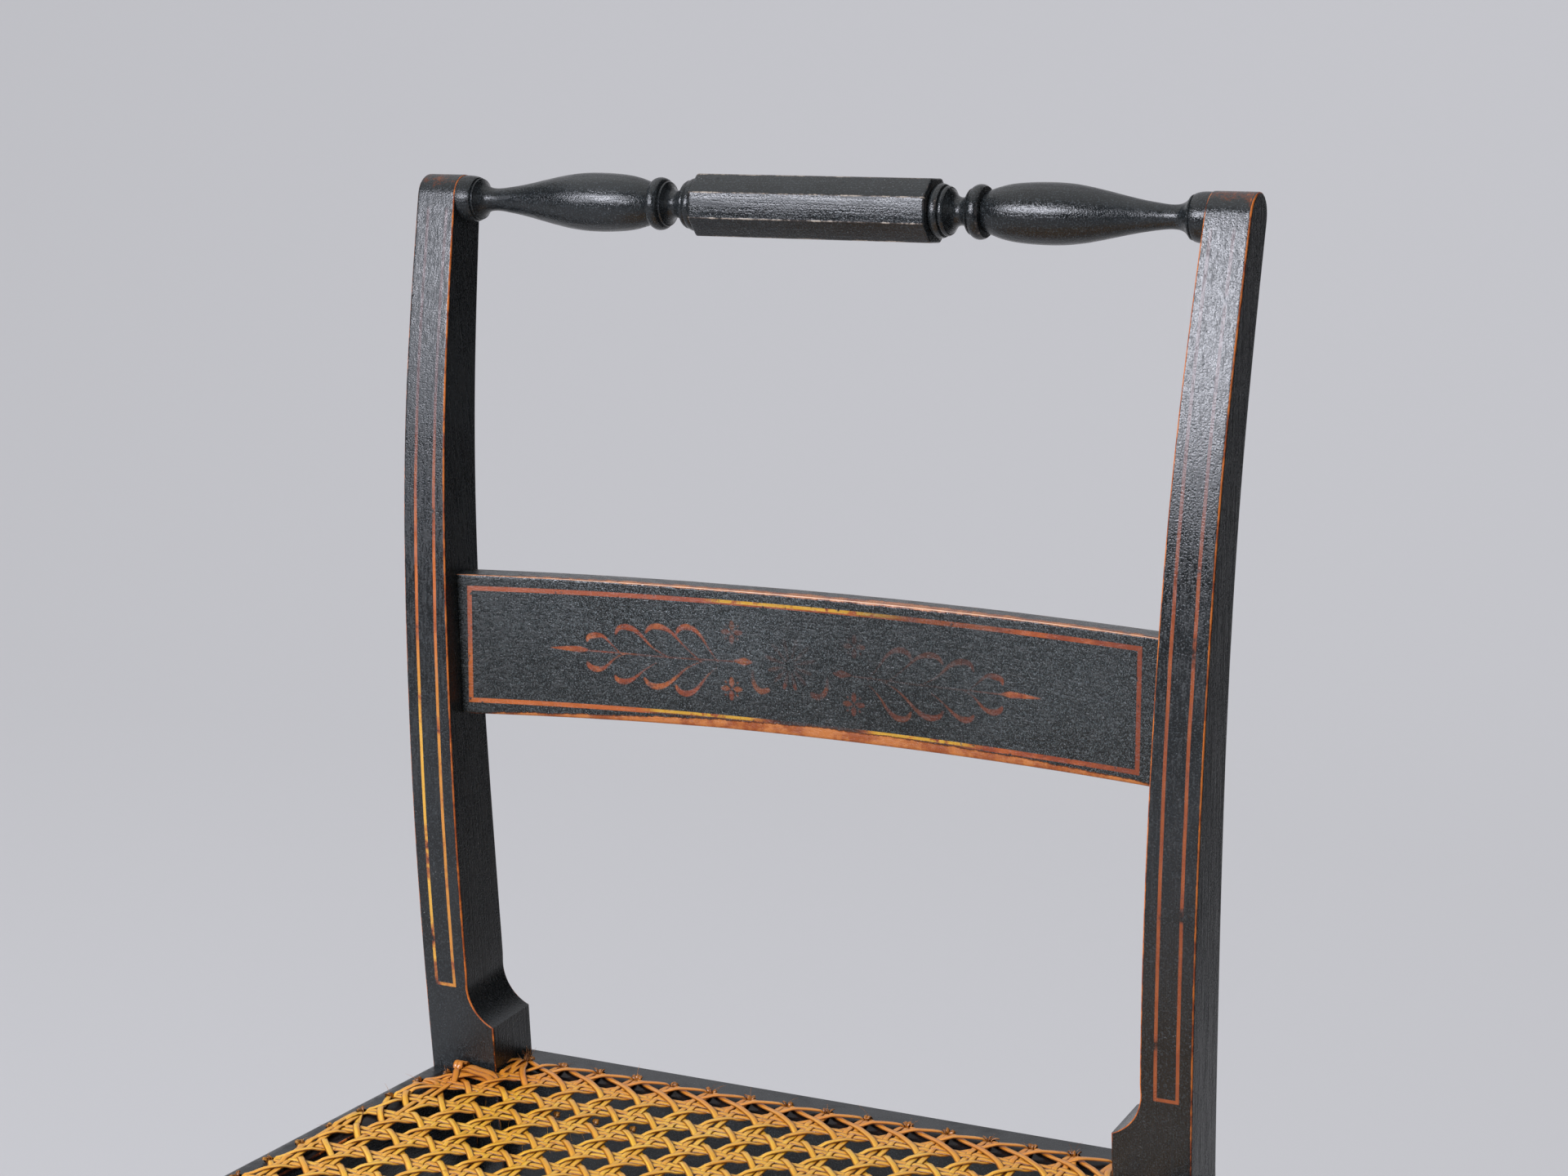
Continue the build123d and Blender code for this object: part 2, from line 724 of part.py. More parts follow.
def diagonal_routes(lean):
    # Lean is 1 for strands that run forward to the right and -1 for the mirrored set.
    reach = hole_reach * hole_pitch
    routes = []
    for column in range(-front_columns - row_count, front_columns):
        crossings = diagonal_crossings(column + 0.5)
        if len(crossings) < 3:
            continue
        first, last = crossings[0], crossings[-1]
        start = nearest_hole(first[0] - reach, first[1] + reach)
        end = nearest_hole(last[0] + reach, last[1] - reach)
        routes.append([(lean * x, y) for x, y in (start, first, last, end)])
    return routes


# ---------------------------------------------------------------- assembly

def build_chair():
    post = right_post()
    side_rail = right_side_rail()
    leg = right_front_leg()
    upper = side_stretcher(upper_stretcher_height)
    lower = side_stretcher(lower_stretcher_height)
    return {
        "left_post": other_side(post),
        "right_post": post,
        "crest_rail": crest_rail(),
        "middle_rail": middle_rail(),
        "rear_seat_rail": rear_seat_rail(),
        "front_seat_rail": front_seat_rail(),
        "left_side_rail": other_side(side_rail),
        "right_side_rail": side_rail,
        "left_front_leg": other_side(leg),
        "right_front_leg": leg,
        "front_stretcher": front_stretcher(),
        "rear_stretcher": rear_stretcher(),
        "upper_left_stretcher": other_side(upper),
        "upper_right_stretcher": upper,
        "lower_left_stretcher": other_side(lower),
        "lower_right_stretcher": lower,
        "cane_front_to_back": strands(front_to_back_routes(-1), 0) + strands(front_to_back_routes(1), 2),
        "cane_side_to_side": strands(side_to_side_routes(-1), 1) + strands(side_to_side_routes(1), 3),
        "cane_diagonal_right": strands(diagonal_routes(1), 4),
        "cane_diagonal_left": strands(diagonal_routes(-1), 5),
    }


os.makedirs("parts", exist_ok=True)
for name, solid in build_chair().items():
    export_step(solid, f"parts/{name}.step")
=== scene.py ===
import math
from functools import partial, partialmethod

import bmesh
import bpy
import numpy as np
from mathutils import Matrix, Vector


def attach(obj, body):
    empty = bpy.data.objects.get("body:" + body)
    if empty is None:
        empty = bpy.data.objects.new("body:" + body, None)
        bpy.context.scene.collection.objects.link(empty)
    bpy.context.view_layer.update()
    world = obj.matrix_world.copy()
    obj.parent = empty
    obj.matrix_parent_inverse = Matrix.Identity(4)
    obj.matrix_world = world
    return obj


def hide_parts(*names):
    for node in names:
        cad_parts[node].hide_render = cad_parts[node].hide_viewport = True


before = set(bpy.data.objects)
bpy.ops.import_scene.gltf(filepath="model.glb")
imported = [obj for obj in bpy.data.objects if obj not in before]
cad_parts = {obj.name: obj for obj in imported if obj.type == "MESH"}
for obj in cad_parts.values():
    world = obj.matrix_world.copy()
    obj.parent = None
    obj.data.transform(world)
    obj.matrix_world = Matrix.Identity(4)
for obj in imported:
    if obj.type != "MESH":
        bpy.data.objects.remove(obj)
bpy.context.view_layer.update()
seatTop = 0.445    # metres above the floor
holeRow = 0.153    # row of cane holes in the rear rail, metres behind the middle
taper = 0.13832    # how much the seat widens on each side for each length forward
dice = np.random.default_rng(11)


def linear(code):
    parts = [int(code[i:i + 2], 16) / 255 for i in (1, 3, 5)]
    return tuple(c / 12.92 if c <= 0.04045 else ((c + 0.055) / 1.055) ** 2.4 for c in parts) + (1,)


class Wire:
    # One output of a node. Signs of arithmetic add Math nodes to it, and | takes the larger of two.
    def __init__(self, node, out=0):
        self.node, self.socket = node, node.outputs[out]

    def __getitem__(self, out):
        return Wire(self.node, out)

    def work(self, operation, *others):
        return addNode(self.node.id_data, "Math", self, *others, operation=operation)

    __add__ = partialmethod(work, "ADD")
    __sub__ = partialmethod(work, "SUBTRACT")
    __mul__ = partialmethod(work, "MULTIPLY")
    __or__ = partialmethod(work, "MAXIMUM")
    __abs__ = partialmethod(work, "ABSOLUTE")

    def __rsub__(self, number):
        return addNode(self.node.id_data, "Math", number, self, operation="SUBTRACT")


def fillSockets(node, sockets):
    # Each socket takes a number, a hex colour or another node's output.
    for socket, value in sockets.items():
        if isinstance(value, Wire):
            node.id_data.links.new(value.socket, node.inputs[socket])
        else:
            node.inputs[socket].default_value = linear(value) if isinstance(value, str) else value


# Usual settings of a kind of node, the sockets that values fill in turn, and the output that is used.
usual = {"Mix": ({"data_type": "RGBA"}, (0, 6, 7), 2),
         "MapRange": ({"interpolation_type": "SMOOTHSTEP"}, range(5), 0)}


def addNode(tree, kind, *values, sockets=None, **settings):
    common, order, out = usual.get(kind, ({}, range(3), 0))
    made = tree.nodes.new("ShaderNode" + kind)
    for name, value in {**common, **settings}.items():
        setattr(made, name, value)
    fillSockets(made, {**dict(zip(order, values)), **(sockets or {})})
    return Wire(made, out)


def noiseAt(place, size, detail=3.0, stretch=(1, 1, 1), shift=(0, 0, 0)):
    # Size is that of the largest blotches, in millimetres.
    add = partial(addNode, place.node.id_data)
    spread = add("Mapping", place, sockets={"Scale": stretch, "Location": shift})
    return add("TexNoise", spread, sockets={"Scale": 1000 / size, "Detail": detail, "Roughness": 0.6})


def newMaterial(name):
    made = bpy.data.materials.new(name)
    made.use_nodes = True
    return made, made.node_tree.nodes["Principled BSDF"], partial(addNode, made.node_tree)


def addObject(name, data):
    made = bpy.data.objects.new(name, data)
    bpy.context.scene.collection.objects.link(made)
    return made


viewpoint = {"lens": 68.61, "sensor": 36, "yaw": 26.96, "pitch": 13.98, "roll": 0.0341,
             "place": (0.54435, holeRow - 1.07586, seatTop + 0.53411)}


def makeCamera():
    data = bpy.data.cameras.new("viewpoint")
    data.sensor_width, data.lens, data.clip_end = viewpoint["sensor"], viewpoint["lens"], 50
    yaw, pitch, roll = math.radians(viewpoint["yaw"]), math.radians(viewpoint["pitch"]), viewpoint["roll"]
    ahead = Vector((-math.sin(yaw) * math.cos(pitch), math.cos(yaw) * math.cos(pitch), -math.sin(pitch)))
    level = Vector((math.cos(yaw), math.sin(yaw), 0))
    down = ahead.cross(level)
    across = math.cos(roll) * level + math.sin(roll) * down
    below = -math.sin(roll) * level + math.cos(roll) * down
    turn = Matrix((across, -below, -ahead)).transposed()
    eye = addObject("viewpoint", data)
    eye.matrix_world = Matrix.Translation(viewpoint["place"]) @ turn.to_4x4()
    bpy.context.scene.camera = eye
    print("camera done")


makeCamera()


def paperMaterial():
    # Seamless pale grey paper: the camera sees its own tone and it keeps a soft shadow. Glossy paint
    # reflects it too, as far as the paper's right-hand edge, where the dark room starts.
    made, shader, add = newMaterial("paleSeamlessPaper")
    fillSockets(shader, {"Base Color": "#d6d7da", "Roughness": 0.9})
    path = add("LightPath")
    place = add("SeparateXYZ", add("NewGeometry")["Position"])
    past = add("MapRange", place, 0.2, 0.7) * path["Is Glossy Ray"]
    tone = add("Emission", add("Mix", past, "#cbcbd0", "#1c1d1f"))
    share = path["Is Camera Ray"] * 0.75 | path["Is Glossy Ray"] * 0.97
    mixed = add("MixShader", share, Wire(shader), tone)
    fillSockets(made.node_tree.nodes["Material Output"], {"Surface": mixed})
    return made


sweep = {"half": 6.0, "wall": 3.0, "bend": 1.2, "top": 6.0, "steps": 12}


def makeStage():
    half, wall, bend, top, steps = sweep.values()
    side = [(-half, 0.0), (wall - bend, 0.0)]
    for i in range(1, steps + 1):
        angle = math.radians(i * 90 / steps)
        side.append((wall - bend + bend * math.sin(angle), bend - bend * math.cos(angle)))
    side.append((wall, top))
    points = [(x, y, z) for x in (-half, half) for y, z in side]
    count = len(side)
    mesh = bpy.data.meshes.new("studioSweep")
    mesh.from_pydata(points, [], [(i, count + i, count + i + 1, i + 1) for i in range(count - 1)])
    for face in mesh.polygons:
        face.use_smooth = True
    mesh.materials.append(paperMaterial())
    addObject("studioSweep", mesh)


# Each softbox: its place, where it points, its size in metres, power in watts and tint.
softboxes = {"keySoftbox": ((-0.84, -1.82, 1.62), (0, 0.1, 0.78), (1.5, 0.62), 72, "#f1f3fe"),
             "topSoftbox": ((-0.5, 0.0, 2.9), (0, 0, 0.45), (3.0, 3.0), 27, "#ffffff"),
             "fillSoftbox": ((2.2, -1.4, 1.4), (0, 0, 0.6), (1.8, 1.8), 5, "#ffffff")}


def makeLights():
    for name, (place, target, size, power, tint) in softboxes.items():
        data = bpy.data.lights.new(name, "AREA")
        data.shape = "RECTANGLE"
        data.size, data.size_y = size
        data.energy = power
        data.color = linear(tint)[:3]
        lamp = addObject(name, data)
        lamp.location = place
        lamp.rotation_euler = (Vector(target) - Vector(place)).to_track_quat("-Z", "Y").to_euler()


# Tone and strength of the room where the eye sees it, as soft light and in reflections.
room = {"seen": ("#cbccd1", 1.0), "soft": ("#dfe1e6", 0.28), "dark": ("#dfe1e6", 0.07)}


def makeWorld():
    world = bpy.data.worlds.new("room")
    bpy.context.scene.world = world
    world.use_nodes = True
    add = partial(addNode, world.node_tree)
    path = add("LightPath")
    seen, soft, dark = (add("Background", *light) for light in room.values())
    unlit = add("MixShader", path["Is Glossy Ray"], soft, dark)
    mixed = add("MixShader", path["Is Camera Ray"], unlit, seen)
    fillSockets(world.node_tree.nodes["World Output"], {"Surface": mixed})


makeStage()
makeWorld()
makeLights()
bpy.context.scene.view_settings.view_transform = "Standard"
print("stage and lights done")


# Shapes are in millimetres from the row of holes at the back of the seat: X right, Y back, Z above the seat.
offFace = -9.0    # face map value where nothing is painted


def curveThrough(knots):
    xs, ys = (np.array(column, float) for column in zip(*knots))
    gaps = np.diff(xs)
    slopes = np.diff(ys) / gaps
    count = len(xs)
    grid = np.eye(count)
    right = np.zeros(count)
    for i in range(1, count - 1):
        grid[i, i - 1:i + 2] = gaps[i - 1], 2 * (gaps[i - 1] + gaps[i]), gaps[i]
        right[i] = 6 * (slopes[i] - slopes[i - 1])
    bends = np.linalg.solve(grid, right)

    def at(x):
        i = np.clip(np.searchsorted(xs, x) - 1, 0, count - 2)
        g, a, b = gaps[i], xs[i + 1] - x, x - xs[i]
        cubic = (bends[i] * a ** 3 + bends[i + 1] * b ** 3) / (6 * g)
        return cubic + (ys[i] / g - bends[i] * g / 6) * a + (ys[i + 1] / g - bends[i + 1] * g / 6) * b
    return at


def lengthsAlong(points):
    return np.concatenate([[0], np.cumsum(np.linalg.norm(np.diff(points, axis=0), axis=1))])


def smoothed(points, fine):
    # A smooth curve through points; fine is how many places are read along it, or their lengths from its start.
    points = np.array(points, float)
    lengths = lengthsAlong(points)
    fine = np.linspace(0, lengths[-1], fine) if np.ndim(fine) == 0 else fine
    return np.stack([curveThrough(list(zip(lengths, column)))(fine) for column in points.T], 1)


def ramped(values, knots):
    return np.interp(values, *zip(*knots))


def toFrame(points):
    return (np.asarray(points, float) + (0, holeRow * 1000, seatTop * 1000)) / 1000


def gridQuads(rows, columns, wrapRows=False, wrapColumns=False):
    i, j = np.meshgrid(np.arange(rows - (not wrapRows)), np.arange(columns - (not wrapColumns)), indexing="ij")
    below, beside = (i + 1) % rows, (j + 1) % columns
    quads = np.stack([i * columns + j, i * columns + beside, below * columns + beside, below * columns + j], -1)
    return quads.reshape(-1, 4)


def rounding(radius, turns):
    # Steps round an arris: how far from its side and from its front.
    return [(radius * (1 - math.cos(t)), radius * (1 - math.sin(t))) for t in turns]


def standIn(name, mesh, material, nodes, sharp):
    # The finished piece stands for its nodes and rides the chair's one body.
    mesh.polygons.foreach_set("use_smooth", [True] * len(mesh.polygons))
    mesh.set_sharp_from_angle(angle=math.radians(sharp))
    mesh.materials.clear()
    mesh.materials.append(material)
    piece = addObject(name, mesh)
    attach(piece, "root")
    if nodes:
        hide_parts(*nodes)
    print(name, "done")


def addPiece(name, points, faces, material, nodes, attributes, cornerMap=None, flip=False, sharp=40,
             mapName="face"):
    faces = [list(face)[::-1] if flip else list(face) for face in faces]
    mesh = bpy.data.meshes.new(name)
    mesh.from_pydata([tuple(p) for p in toFrame(points)], [], faces)
    for label, values in attributes.items():
        layer = mesh.attributes.new(label, "FLOAT", "POINT")
        layer.data.foreach_set("value", np.asarray(values, np.float32).ravel())
    if cornerMap is not None:
        layer = mesh.uv_layers.new(name=mapName)
        corners = np.array(cornerMap, np.float32).reshape(len(faces), -1, 2)
        layer.uv.foreach_set("vector", (corners[:, ::-1] if flip else corners).ravel())
    mesh.validate(clean_customdata=False)
    standIn(name, mesh, material, nodes, sharp)


def paintMaterial(name, decorate=None, tones=("#151718", "#202325", "#3a4043"), bareTones=("#8f4322", "#c8702f"),
                  rimTone="#4a2414", stretch=(1, 1, 0.03), tooth=0.00014, shine=0.5, shadedAndSoiled=None, even=False):
    # Satin black oil paint on maple: a cool black that is patchy, finely grained and brushed lengthways.
    # Even is for pieces low on the chair, where the strength of the gloss is the same all over.
    made, shader, add = newMaterial(name)
    place = add("TexCoord")["Object"]
    wornAndHighlit = add("Attribute", attribute_name="wear")["Fac"]
    clouds, grain, brush = noiseAt(place, 60, 4), noiseAt(place, 0.7, 2), noiseAt(place, 1.1, 3, stretch)
    colour = add("Mix", add("MapRange", clouds, 0.35, 0.7), *tones[:2])
    colour = add("Mix", add("MapRange", grain, 0.5, 0.7, 0, 0.7), colour, tones[2])
    if decorate:
        colour = decorate(add, place, colour)
    shadeAndDirt = 0.0
    # Under the cane the rails are darkened with dirt and painted shade.
    if shadedAndSoiled:
        shadeAndDirt = shadedAndSoiled(add, place)
        colour = add("Mix", shadeAndDirt * 0.8, colour, "#1a1210")

    # Dust specks catch the light here and there.
    dust = add("MapRange", noiseAt(place, 1.0, 1, shift=(3, 1, 2)), 0.73, 0.79)
    dust *= add("MapRange", noiseAt(place, 35, 2, shift=(1, 5, 2)), 0.45, 0.65, 0, 0.6)
    colour = add("Mix", dust, colour, "#9a9c9c")

    # Arrises are rubbed through to orange maple with a darker rim. Where the wear value passes 0.8, on the middle
    # rail's upper arris, a pale painted highlight stands in for the light on the rounded edge.
    chips, fine = noiseAt(place, 8, 5, shift=(2, 2, 0)), noiseAt(place, 1.2, 2, shift=(4, 0, 1))
    edge = wornAndHighlit + (chips - 0.5) * 0.5 + (fine - 0.5) * 0.3
    bare = add("MapRange", edge, 0.44, 0.56)
    wood = add("Mix", add("MapRange", chips, 0.38, 0.6), *bareTones)
    # Painted highlight: a pale tone where the wear value passes 0.8.
    wood = add("Mix", add("MapRange", wornAndHighlit, 0.8, 1.0), wood, "#e0c0a6")
    colour = add("Mix", add("MapRange", edge, 0.34, 0.44), colour, rimTone)
    colour = add("Mix", bare, colour, wood)

    # The left side of the chair has kept less of its gloss, and so have the places under the cane with dirt and
    # painted shade.
    spot = add("SeparateXYZ", place)
    dull = add("MapRange", spot[0], -0.13, -0.155, 0, 0.07)
    weaker = dull * add("MapRange", spot[2], 0.64, 0.76) * 1.6 + shadeAndDirt * 0.42
    pits = add("MapRange", noiseAt(place, 1.8, 2, shift=(6, 3, 3)), 0.24, 0.32, 0.35, 0)
    streaked = (brush - 0.5) * 0.95 + pits + (grain - 0.5) * 0.5
    gloss = add("MapRange", clouds, 0.35, 0.7, 0.17, 0.27) + streaked + dull
    gloss = add("Math", gloss, bare * 0.05, operation="ADD", use_clamp=True)
    height = grain + brush * 0.7 - bare * 0.6
    bump = add("Bump", sockets={"Height": height, "Strength": 1.0, "Distance": tooth})
    fillSockets(shader, {"Base Color": colour, "Roughness": gloss, "Normal": bump,
                         "Specular IOR Level": shine if even else shine - weaker})
    return made


def stripeLine(add, across, middle, halfWidth, soft=0.12):
    return add("MapRange", abs(across - middle) - halfWidth, -soft, soft, 1, 0)


def band(add, value, start, full, fading, end):
    return add("MapRange", value, start, full) * add("MapRange", value, fading, end, 1, 0)


stripes = {"outer": 6.2, "inner": 15.6, "halfWidth": 0.72, "foot": 40.4, "footHalfWidth": 0.75, "top": 383}


def postStripes(add, place, colour):
    # Two painted stripes down the front, joined across just above the seat block and gilt low on the left post.
    spot = add("SeparateXYZ", add("UVMap", uv_map="face"))
    up, across = spot[1], spot[0] + (noiseAt(place, 30, 1) - 0.5) * 0.5
    outer, inner, half, foot, footHalf, top = stripes.values()
    lines = stripeLine(add, across, outer, half) | stripeLine(add, across, inner, half)
    cross = stripeLine(add, up, foot, footHalf)
    cross *= band(add, across, outer - 0.7, outer - 0.5, inner + 0.5, inner + 0.7)
    mask = lines * band(add, up, foot - 0.8, foot - 0.5, top, top + 3) | cross
    patches = noiseAt(place, 14, 4, shift=(7, 1, 3))
    high = add("MapRange", up, 225, 330)
    left = add("MapRange", add("SeparateXYZ", place), -0.01, 0.01, 1, 0)
    gilt = left * add("MapRange", up, 150, 215, 1, 0) * add("MapRange", across, 9, 12, 1.0, 0.45)
    gilt *= add("MapRange", patches, 0.36, 0.5)
    tone = add("Mix", add("MapRange", patches, 0.4, 0.6), "#9a4f2a", "#b3622f")
    for share, further in ((0.6 - left * 0.6, "#743a27"), (high, "#5d4042"), (gilt, "#cf9d3f")):
        tone = add("Mix", share, tone, further)
    return add("Mix", mask * add("MapRange", patches, 0.30, 0.42) * (1 - high * 0.55), colour, tone)


# The painted border of the middle rail: its middle, half its length and height, and half the line's width.
border = {"middle": (-2.65, 195.95), "half": (155.35, 25.05), "halfWidth": 1.02}


def railBorder(add, place, colour):
    # A stencilled leaf spray inside a painted border, which is gilt along its upper half in places.
    spot = add("SeparateXYZ", add("UVMap", uv_map="face"))
    across, up = spot[0], spot[1]
    (middleX, middleZ), (halfX, halfZ) = border["middle"], border["half"]
    outside = abs(across - middleX) - halfX | abs(up - middleZ) - halfZ
    patches = noiseAt(place, 12, 4, shift=(1, 2, 3))
    top = add("MapRange", up, 190, 200)
    low = 1 - top
    tone = add("Mix", add("MapRange", patches, 0.35, 0.65), "#7c3a24", "#a05329")
    tone = add("Mix", add("MapRange", across, -50, -140, 0, 0.7), tone, "#b5642f")
    tone = add("Mix", add("MapRange", across, 120, 148, 0, 0.75), tone, "#6b3325")
    tone = add("Mix", top * add("MapRange", across, -60, -20, 0.7, 0), tone, "#87493a")
    goldLow = band(add, across, -80, -68, -30, -18) | band(add, across, 26, 34, 68, 84)
    gold = band(add, across, -50, -40, 30, 50) * top + goldLow * low
    gold *= add("MapRange", noiseAt(place, 5, 4, shift=(2, 7, 1)), 0.34, 0.46)
    upperHalf = add("MapRange", outside * (top * 2 - 1), -0.6, -0.1)
    tone = add("Mix", gold * upperHalf, tone, "#b98d2f")

    # The border is rubbed all along, gone below the middle and faint above the right half.
    mask = stripeLine(add, outside, 0, border["halfWidth"], 0.15) * add("MapRange", up, 100, 101)
    mask *= add("MapRange", noiseAt(place, 3, 3, shift=(5, 5, 5)), 0.28, 0.4)
    mask *= 1 - band(add, across, -26, -10, 22, 32) * low * 0.93
    mask *= 1 - band(add, across, 10, 35, 80, 105) * top * 0.5
    mask *= 1 - goldLow * low * (1 - upperHalf) * 0.8

    # The fine grain of the paint glints, most above the left half of the spray.
    window = add("MapRange", across, -150, -105) * add("MapRange", across, -30, 50, 1, 0.15)
    window = window * add("MapRange", up, 172, 208, 0.25, 1) | add("MapRange", across, 60, 110, 0, 0.6)
    glints = add("MapRange", noiseAt(place, 0.45, 1, shift=(5, 2, 8)), 0.54, 0.72)
    colour = add("Mix", glints * (window * 0.34 + 0.12), colour, "#8d979c")
    colour = add("Mix", mask, colour, tone)

    # The spray is bronze powder, thin in places, with a glint here and there and dim on the right.
    edge, strength = (add("Attribute", attribute_name=name)["Fac"] for name in ("spray", "sprayStrength"))
    drawn = add("MapRange", edge, -0.35, 0.3, 1, 0) * strength
    drawn *= add("MapRange", noiseAt(place, 2.2, 4, shift=(8, 3, 1)), 0.3, 0.55, 0.4, 1)
    bronze = add("Mix", add("MapRange", patches, 0.45, 0.6), "#843f26", "#9c552c")
    glint = add("MapRange", noiseAt(place, 1.6, 3, shift=(3, 8, 2)), 0.66, 0.72, 0, 0.7)
    bronze = add("Mix", glint, bronze, "#c58a35")
    bronze = add("Mix", band(add, across, -20, 15, 88, 96) * 0.75, bronze, "#452820")
    return add("Mix", drawn, colour, bronze)


def shadeAndDirtUnderCane(add, place):
    # Dull dark brown on the rails under the cane, inside the rows of holes: partly dirt, partly painted shade cast
    # by the cane.
    halfRow, depth, soft = 0.1704, 0.361, 0.002    # in metres: half the rear row, front row, soft edge
    spot = add("SeparateXYZ", place)
    fromRow = spot[1] - holeRow
    fromSide = halfRow - fromRow * taper - abs(spot[0])
    inside = add("MapRange", fromRow, 0.0, -soft) * add("MapRange", fromSide, 0.0, soft)
    inside *= add("MapRange", fromRow, -depth, soft - depth)
    return inside * add("MapRange", spot[2], seatTop - 0.004, seatTop - 0.001)


legPaint = paintMaterial("satinBlackPaint", tooth=0.00006, even=True)
railPaint = paintMaterial("satinBlackRailPaint", stretch=(0.1, 0.1, 1), tooth=0.00006, shadedAndSoiled=shadeAndDirtUnderCane)
crestPaint = paintMaterial("rubbedBlackPaint", bareTones=("#5c4f46", "#9c9184"), rimTone="#302c2a",
                           stretch=(0.04, 1, 1), shine=0.42)
stripedPaint = paintMaterial("stripedBlackPaint", postStripes)
borderedPaint = paintMaterial("stencilledBlackPaint", railBorder, ("#121414", "#1c2021", "#4a5253"),
                              ("#8a4723", "#b06c38"), stretch=(0.2, 1, 1), tooth=0.00018)
print("paints done")


post = {
    "front": curveThrough([(-445, 39.0), (-222.5, -2.69), (0, -18.9), (99.5, -19.0), (199, -12.6),
                           (298.5, 1.9), (390.5, 26.2)]),
    "back": curveThrough([(-445, 67.0), (-222.5, 27.83), (0, 12.6), (99.5, 12.5), (199, 15.6),
                          (298.5, 27.3), (384.5, 46.4)]),
    "lean": math.radians(16.6), "top": (36.3, 387.5), "topRadius": 10.5,
    "outer": 181.0, "round": 0.8,
    "plainFrom": 41.0, "narrowest": 159.4,                   # above the cove
    "cove": (139.46, 20.24), "coveEnd": 22.3,                # place of its middle, and radius
    "block": 147.2, "splay": 9.8, "legTop": -52.0, "legLength": 393.0,
    # How far the inner and outer arris are worn at each height; the outer ones of the two posts differ.
    "wornInner": [(-445, 0.3), (-20, 0.42), (17, 0.48), (23, 0.72), (60, 0.72), (230, 0.66), (370, 0.66),
                  (398, 0.55)],
    "wornOuter": {1: [(-445, 0.25), (-20, 0.5), (60, 0.66), (200, 0.64), (300, 0.68), (398, 0.66)],
                  -1: [(-445, 0.25), (-20, 0.48), (60, 0.52), (200, 0.54), (300, 0.47), (398, 0.5)]}}


def postOuter(z):
    s = np.maximum(z, 0) / 380
    return post["outer"] + 6.11 * s + 2.44 * s * s


def postInner(z):
    s = np.maximum(z, 0) / 380
    plain = 158.72 + 5.66 * s + 5.94 * s * s
    middle, radius = post["cove"]
    cove = middle + np.sqrt(np.maximum(radius ** 2 - (post["plainFrom"] - z) ** 2, 0))
    leg = post["block"] + post["splay"] * np.clip((post["legTop"] - z) / post["legLength"], 0, 1)
    below = np.where(z > post["coveEnd"], np.maximum(cove, post["block"]), leg)
    return np.where(z > post["plainFrom"], np.maximum(plain, post["narrowest"]), below)


def makePost(name, side):
    zs = np.array([*np.linspace(-445, -60, 17), -52, -25, 0, 14, 20.6, 21.6, 22.3, 22.9, 23.6,
                   *np.linspace(24.5, 41, 12), *np.linspace(46, 390.5, 44)])
    ys = post["front"](zs)
    lean, radius, r = post["lean"], post["topRadius"], post["round"]
    backZ = zs - math.tan(lean) * np.clip((zs - 60) / 330.5, 0, 1) * (post["back"](zs) - ys)
    middleY, middleZ = post["top"]
    turns = np.radians(np.linspace(0, 180, 25)[1:-1])
    arcY = middleY + radius * (-math.cos(lean) * np.cos(turns) + math.sin(lean) * np.sin(turns))
    arcZ = middleZ + radius * (math.sin(lean) * np.cos(turns) + math.cos(lean) * np.sin(turns))
    ring = np.concatenate([np.stack([ys, zs], 1), np.stack([arcY, arcZ], 1),
                           np.stack([post["back"](backZ), backZ], 1)[::-1]])
    count = len(ring)
    along = np.roll(ring, -1, 0) - np.roll(ring, 1, 0)
    along[0], along[-1] = (-0.5, 1), (-0.5, -1)
    along /= np.linalg.norm(along, axis=1)[:, None]
    out = np.stack([-along[:, 1], along[:, 0]], 1)
    z = ring[:, 1]
    inner, outer = postInner(z), postOuter(z)
    onFront = np.arange(count) < len(zs) + 12
    frontal = np.where(onFront, 1.0, 0.75)
    wornAndHighlit, wornOut = ramped(z, post["wornInner"]) * frontal, ramped(z, post["wornOuter"][side]) * frontal
    crown = np.clip((z - 388) / 8, 0, 1) * 0.36
    # Columns across the post: place, set back, wear. A worn arris is barest at its middle.
    arris = [(*step, share) for step, share in zip(rounding(r, np.radians([0, 22.5, 45, 67.5, 90])),
                                                   (0.42, 0.88, 1.0, 0.88, 0.42))]
    columns = [(inner, r + 0.6, 0.0)] + [(inner + away, back, wornAndHighlit * share) for away, back, share in arris]
    columns += [(inner + r + 0.6, 0.0, crown), (inner + (outer - inner) * 0.25, 0.0, crown),
                (inner + (outer - inner) * 0.5, 0.0, crown * 1.12), (inner + (outer - inner) * 0.75, 0.0, crown),
                (outer - r - 0.6, 0.0, crown * 1.25)]
    columns += [(outer - away, back, wornOut * share) for away, back, share in arris[::-1]]
    columns += [(outer, r + 0.6, 0.0)]
    grid = np.stack([np.column_stack([x, ring - out * back]) for x, back, _ in columns], 1)
    wear = np.stack([np.broadcast_to(wear, count) for _, _, wear in columns], 1)
    maps = np.stack([np.column_stack([outer - x, z]) for x, _, _ in columns], 1)
    width = len(columns)
    quads = gridQuads(count, width, wrapRows=True)
    row, seg = np.divmod(np.arange(len(quads)), width - 1)
    faceMap = maps.reshape(-1, 2)[quads]
    faceMap[~((seg >= 4) & (seg < width - 5) & onFront[row])] = offFace
    # The two flat sides join the front to the back at each height.
    sides = [[k * width + edge for k in (i, i + 1, count - 2 - i, count - 1 - i)][::order]
             for i in range(count // 2) if count - 1 - 2 * i > 2
             for edge, order in ((0, 1), (width - 1, -1))]
    faceMap = np.concatenate([faceMap, np.full((len(sides), 4, 2), offFace)])
    grid[..., 0] *= side
    addPiece(name, grid.reshape(-1, 3), [*quads, *sides], stripedPaint,
             ["right_post" if side > 0 else "left_post"], {"wear": wear}, faceMap, flip=side > 0)


makePost("leftPostBoard", -1)
makePost("rightPostBoard", 1)


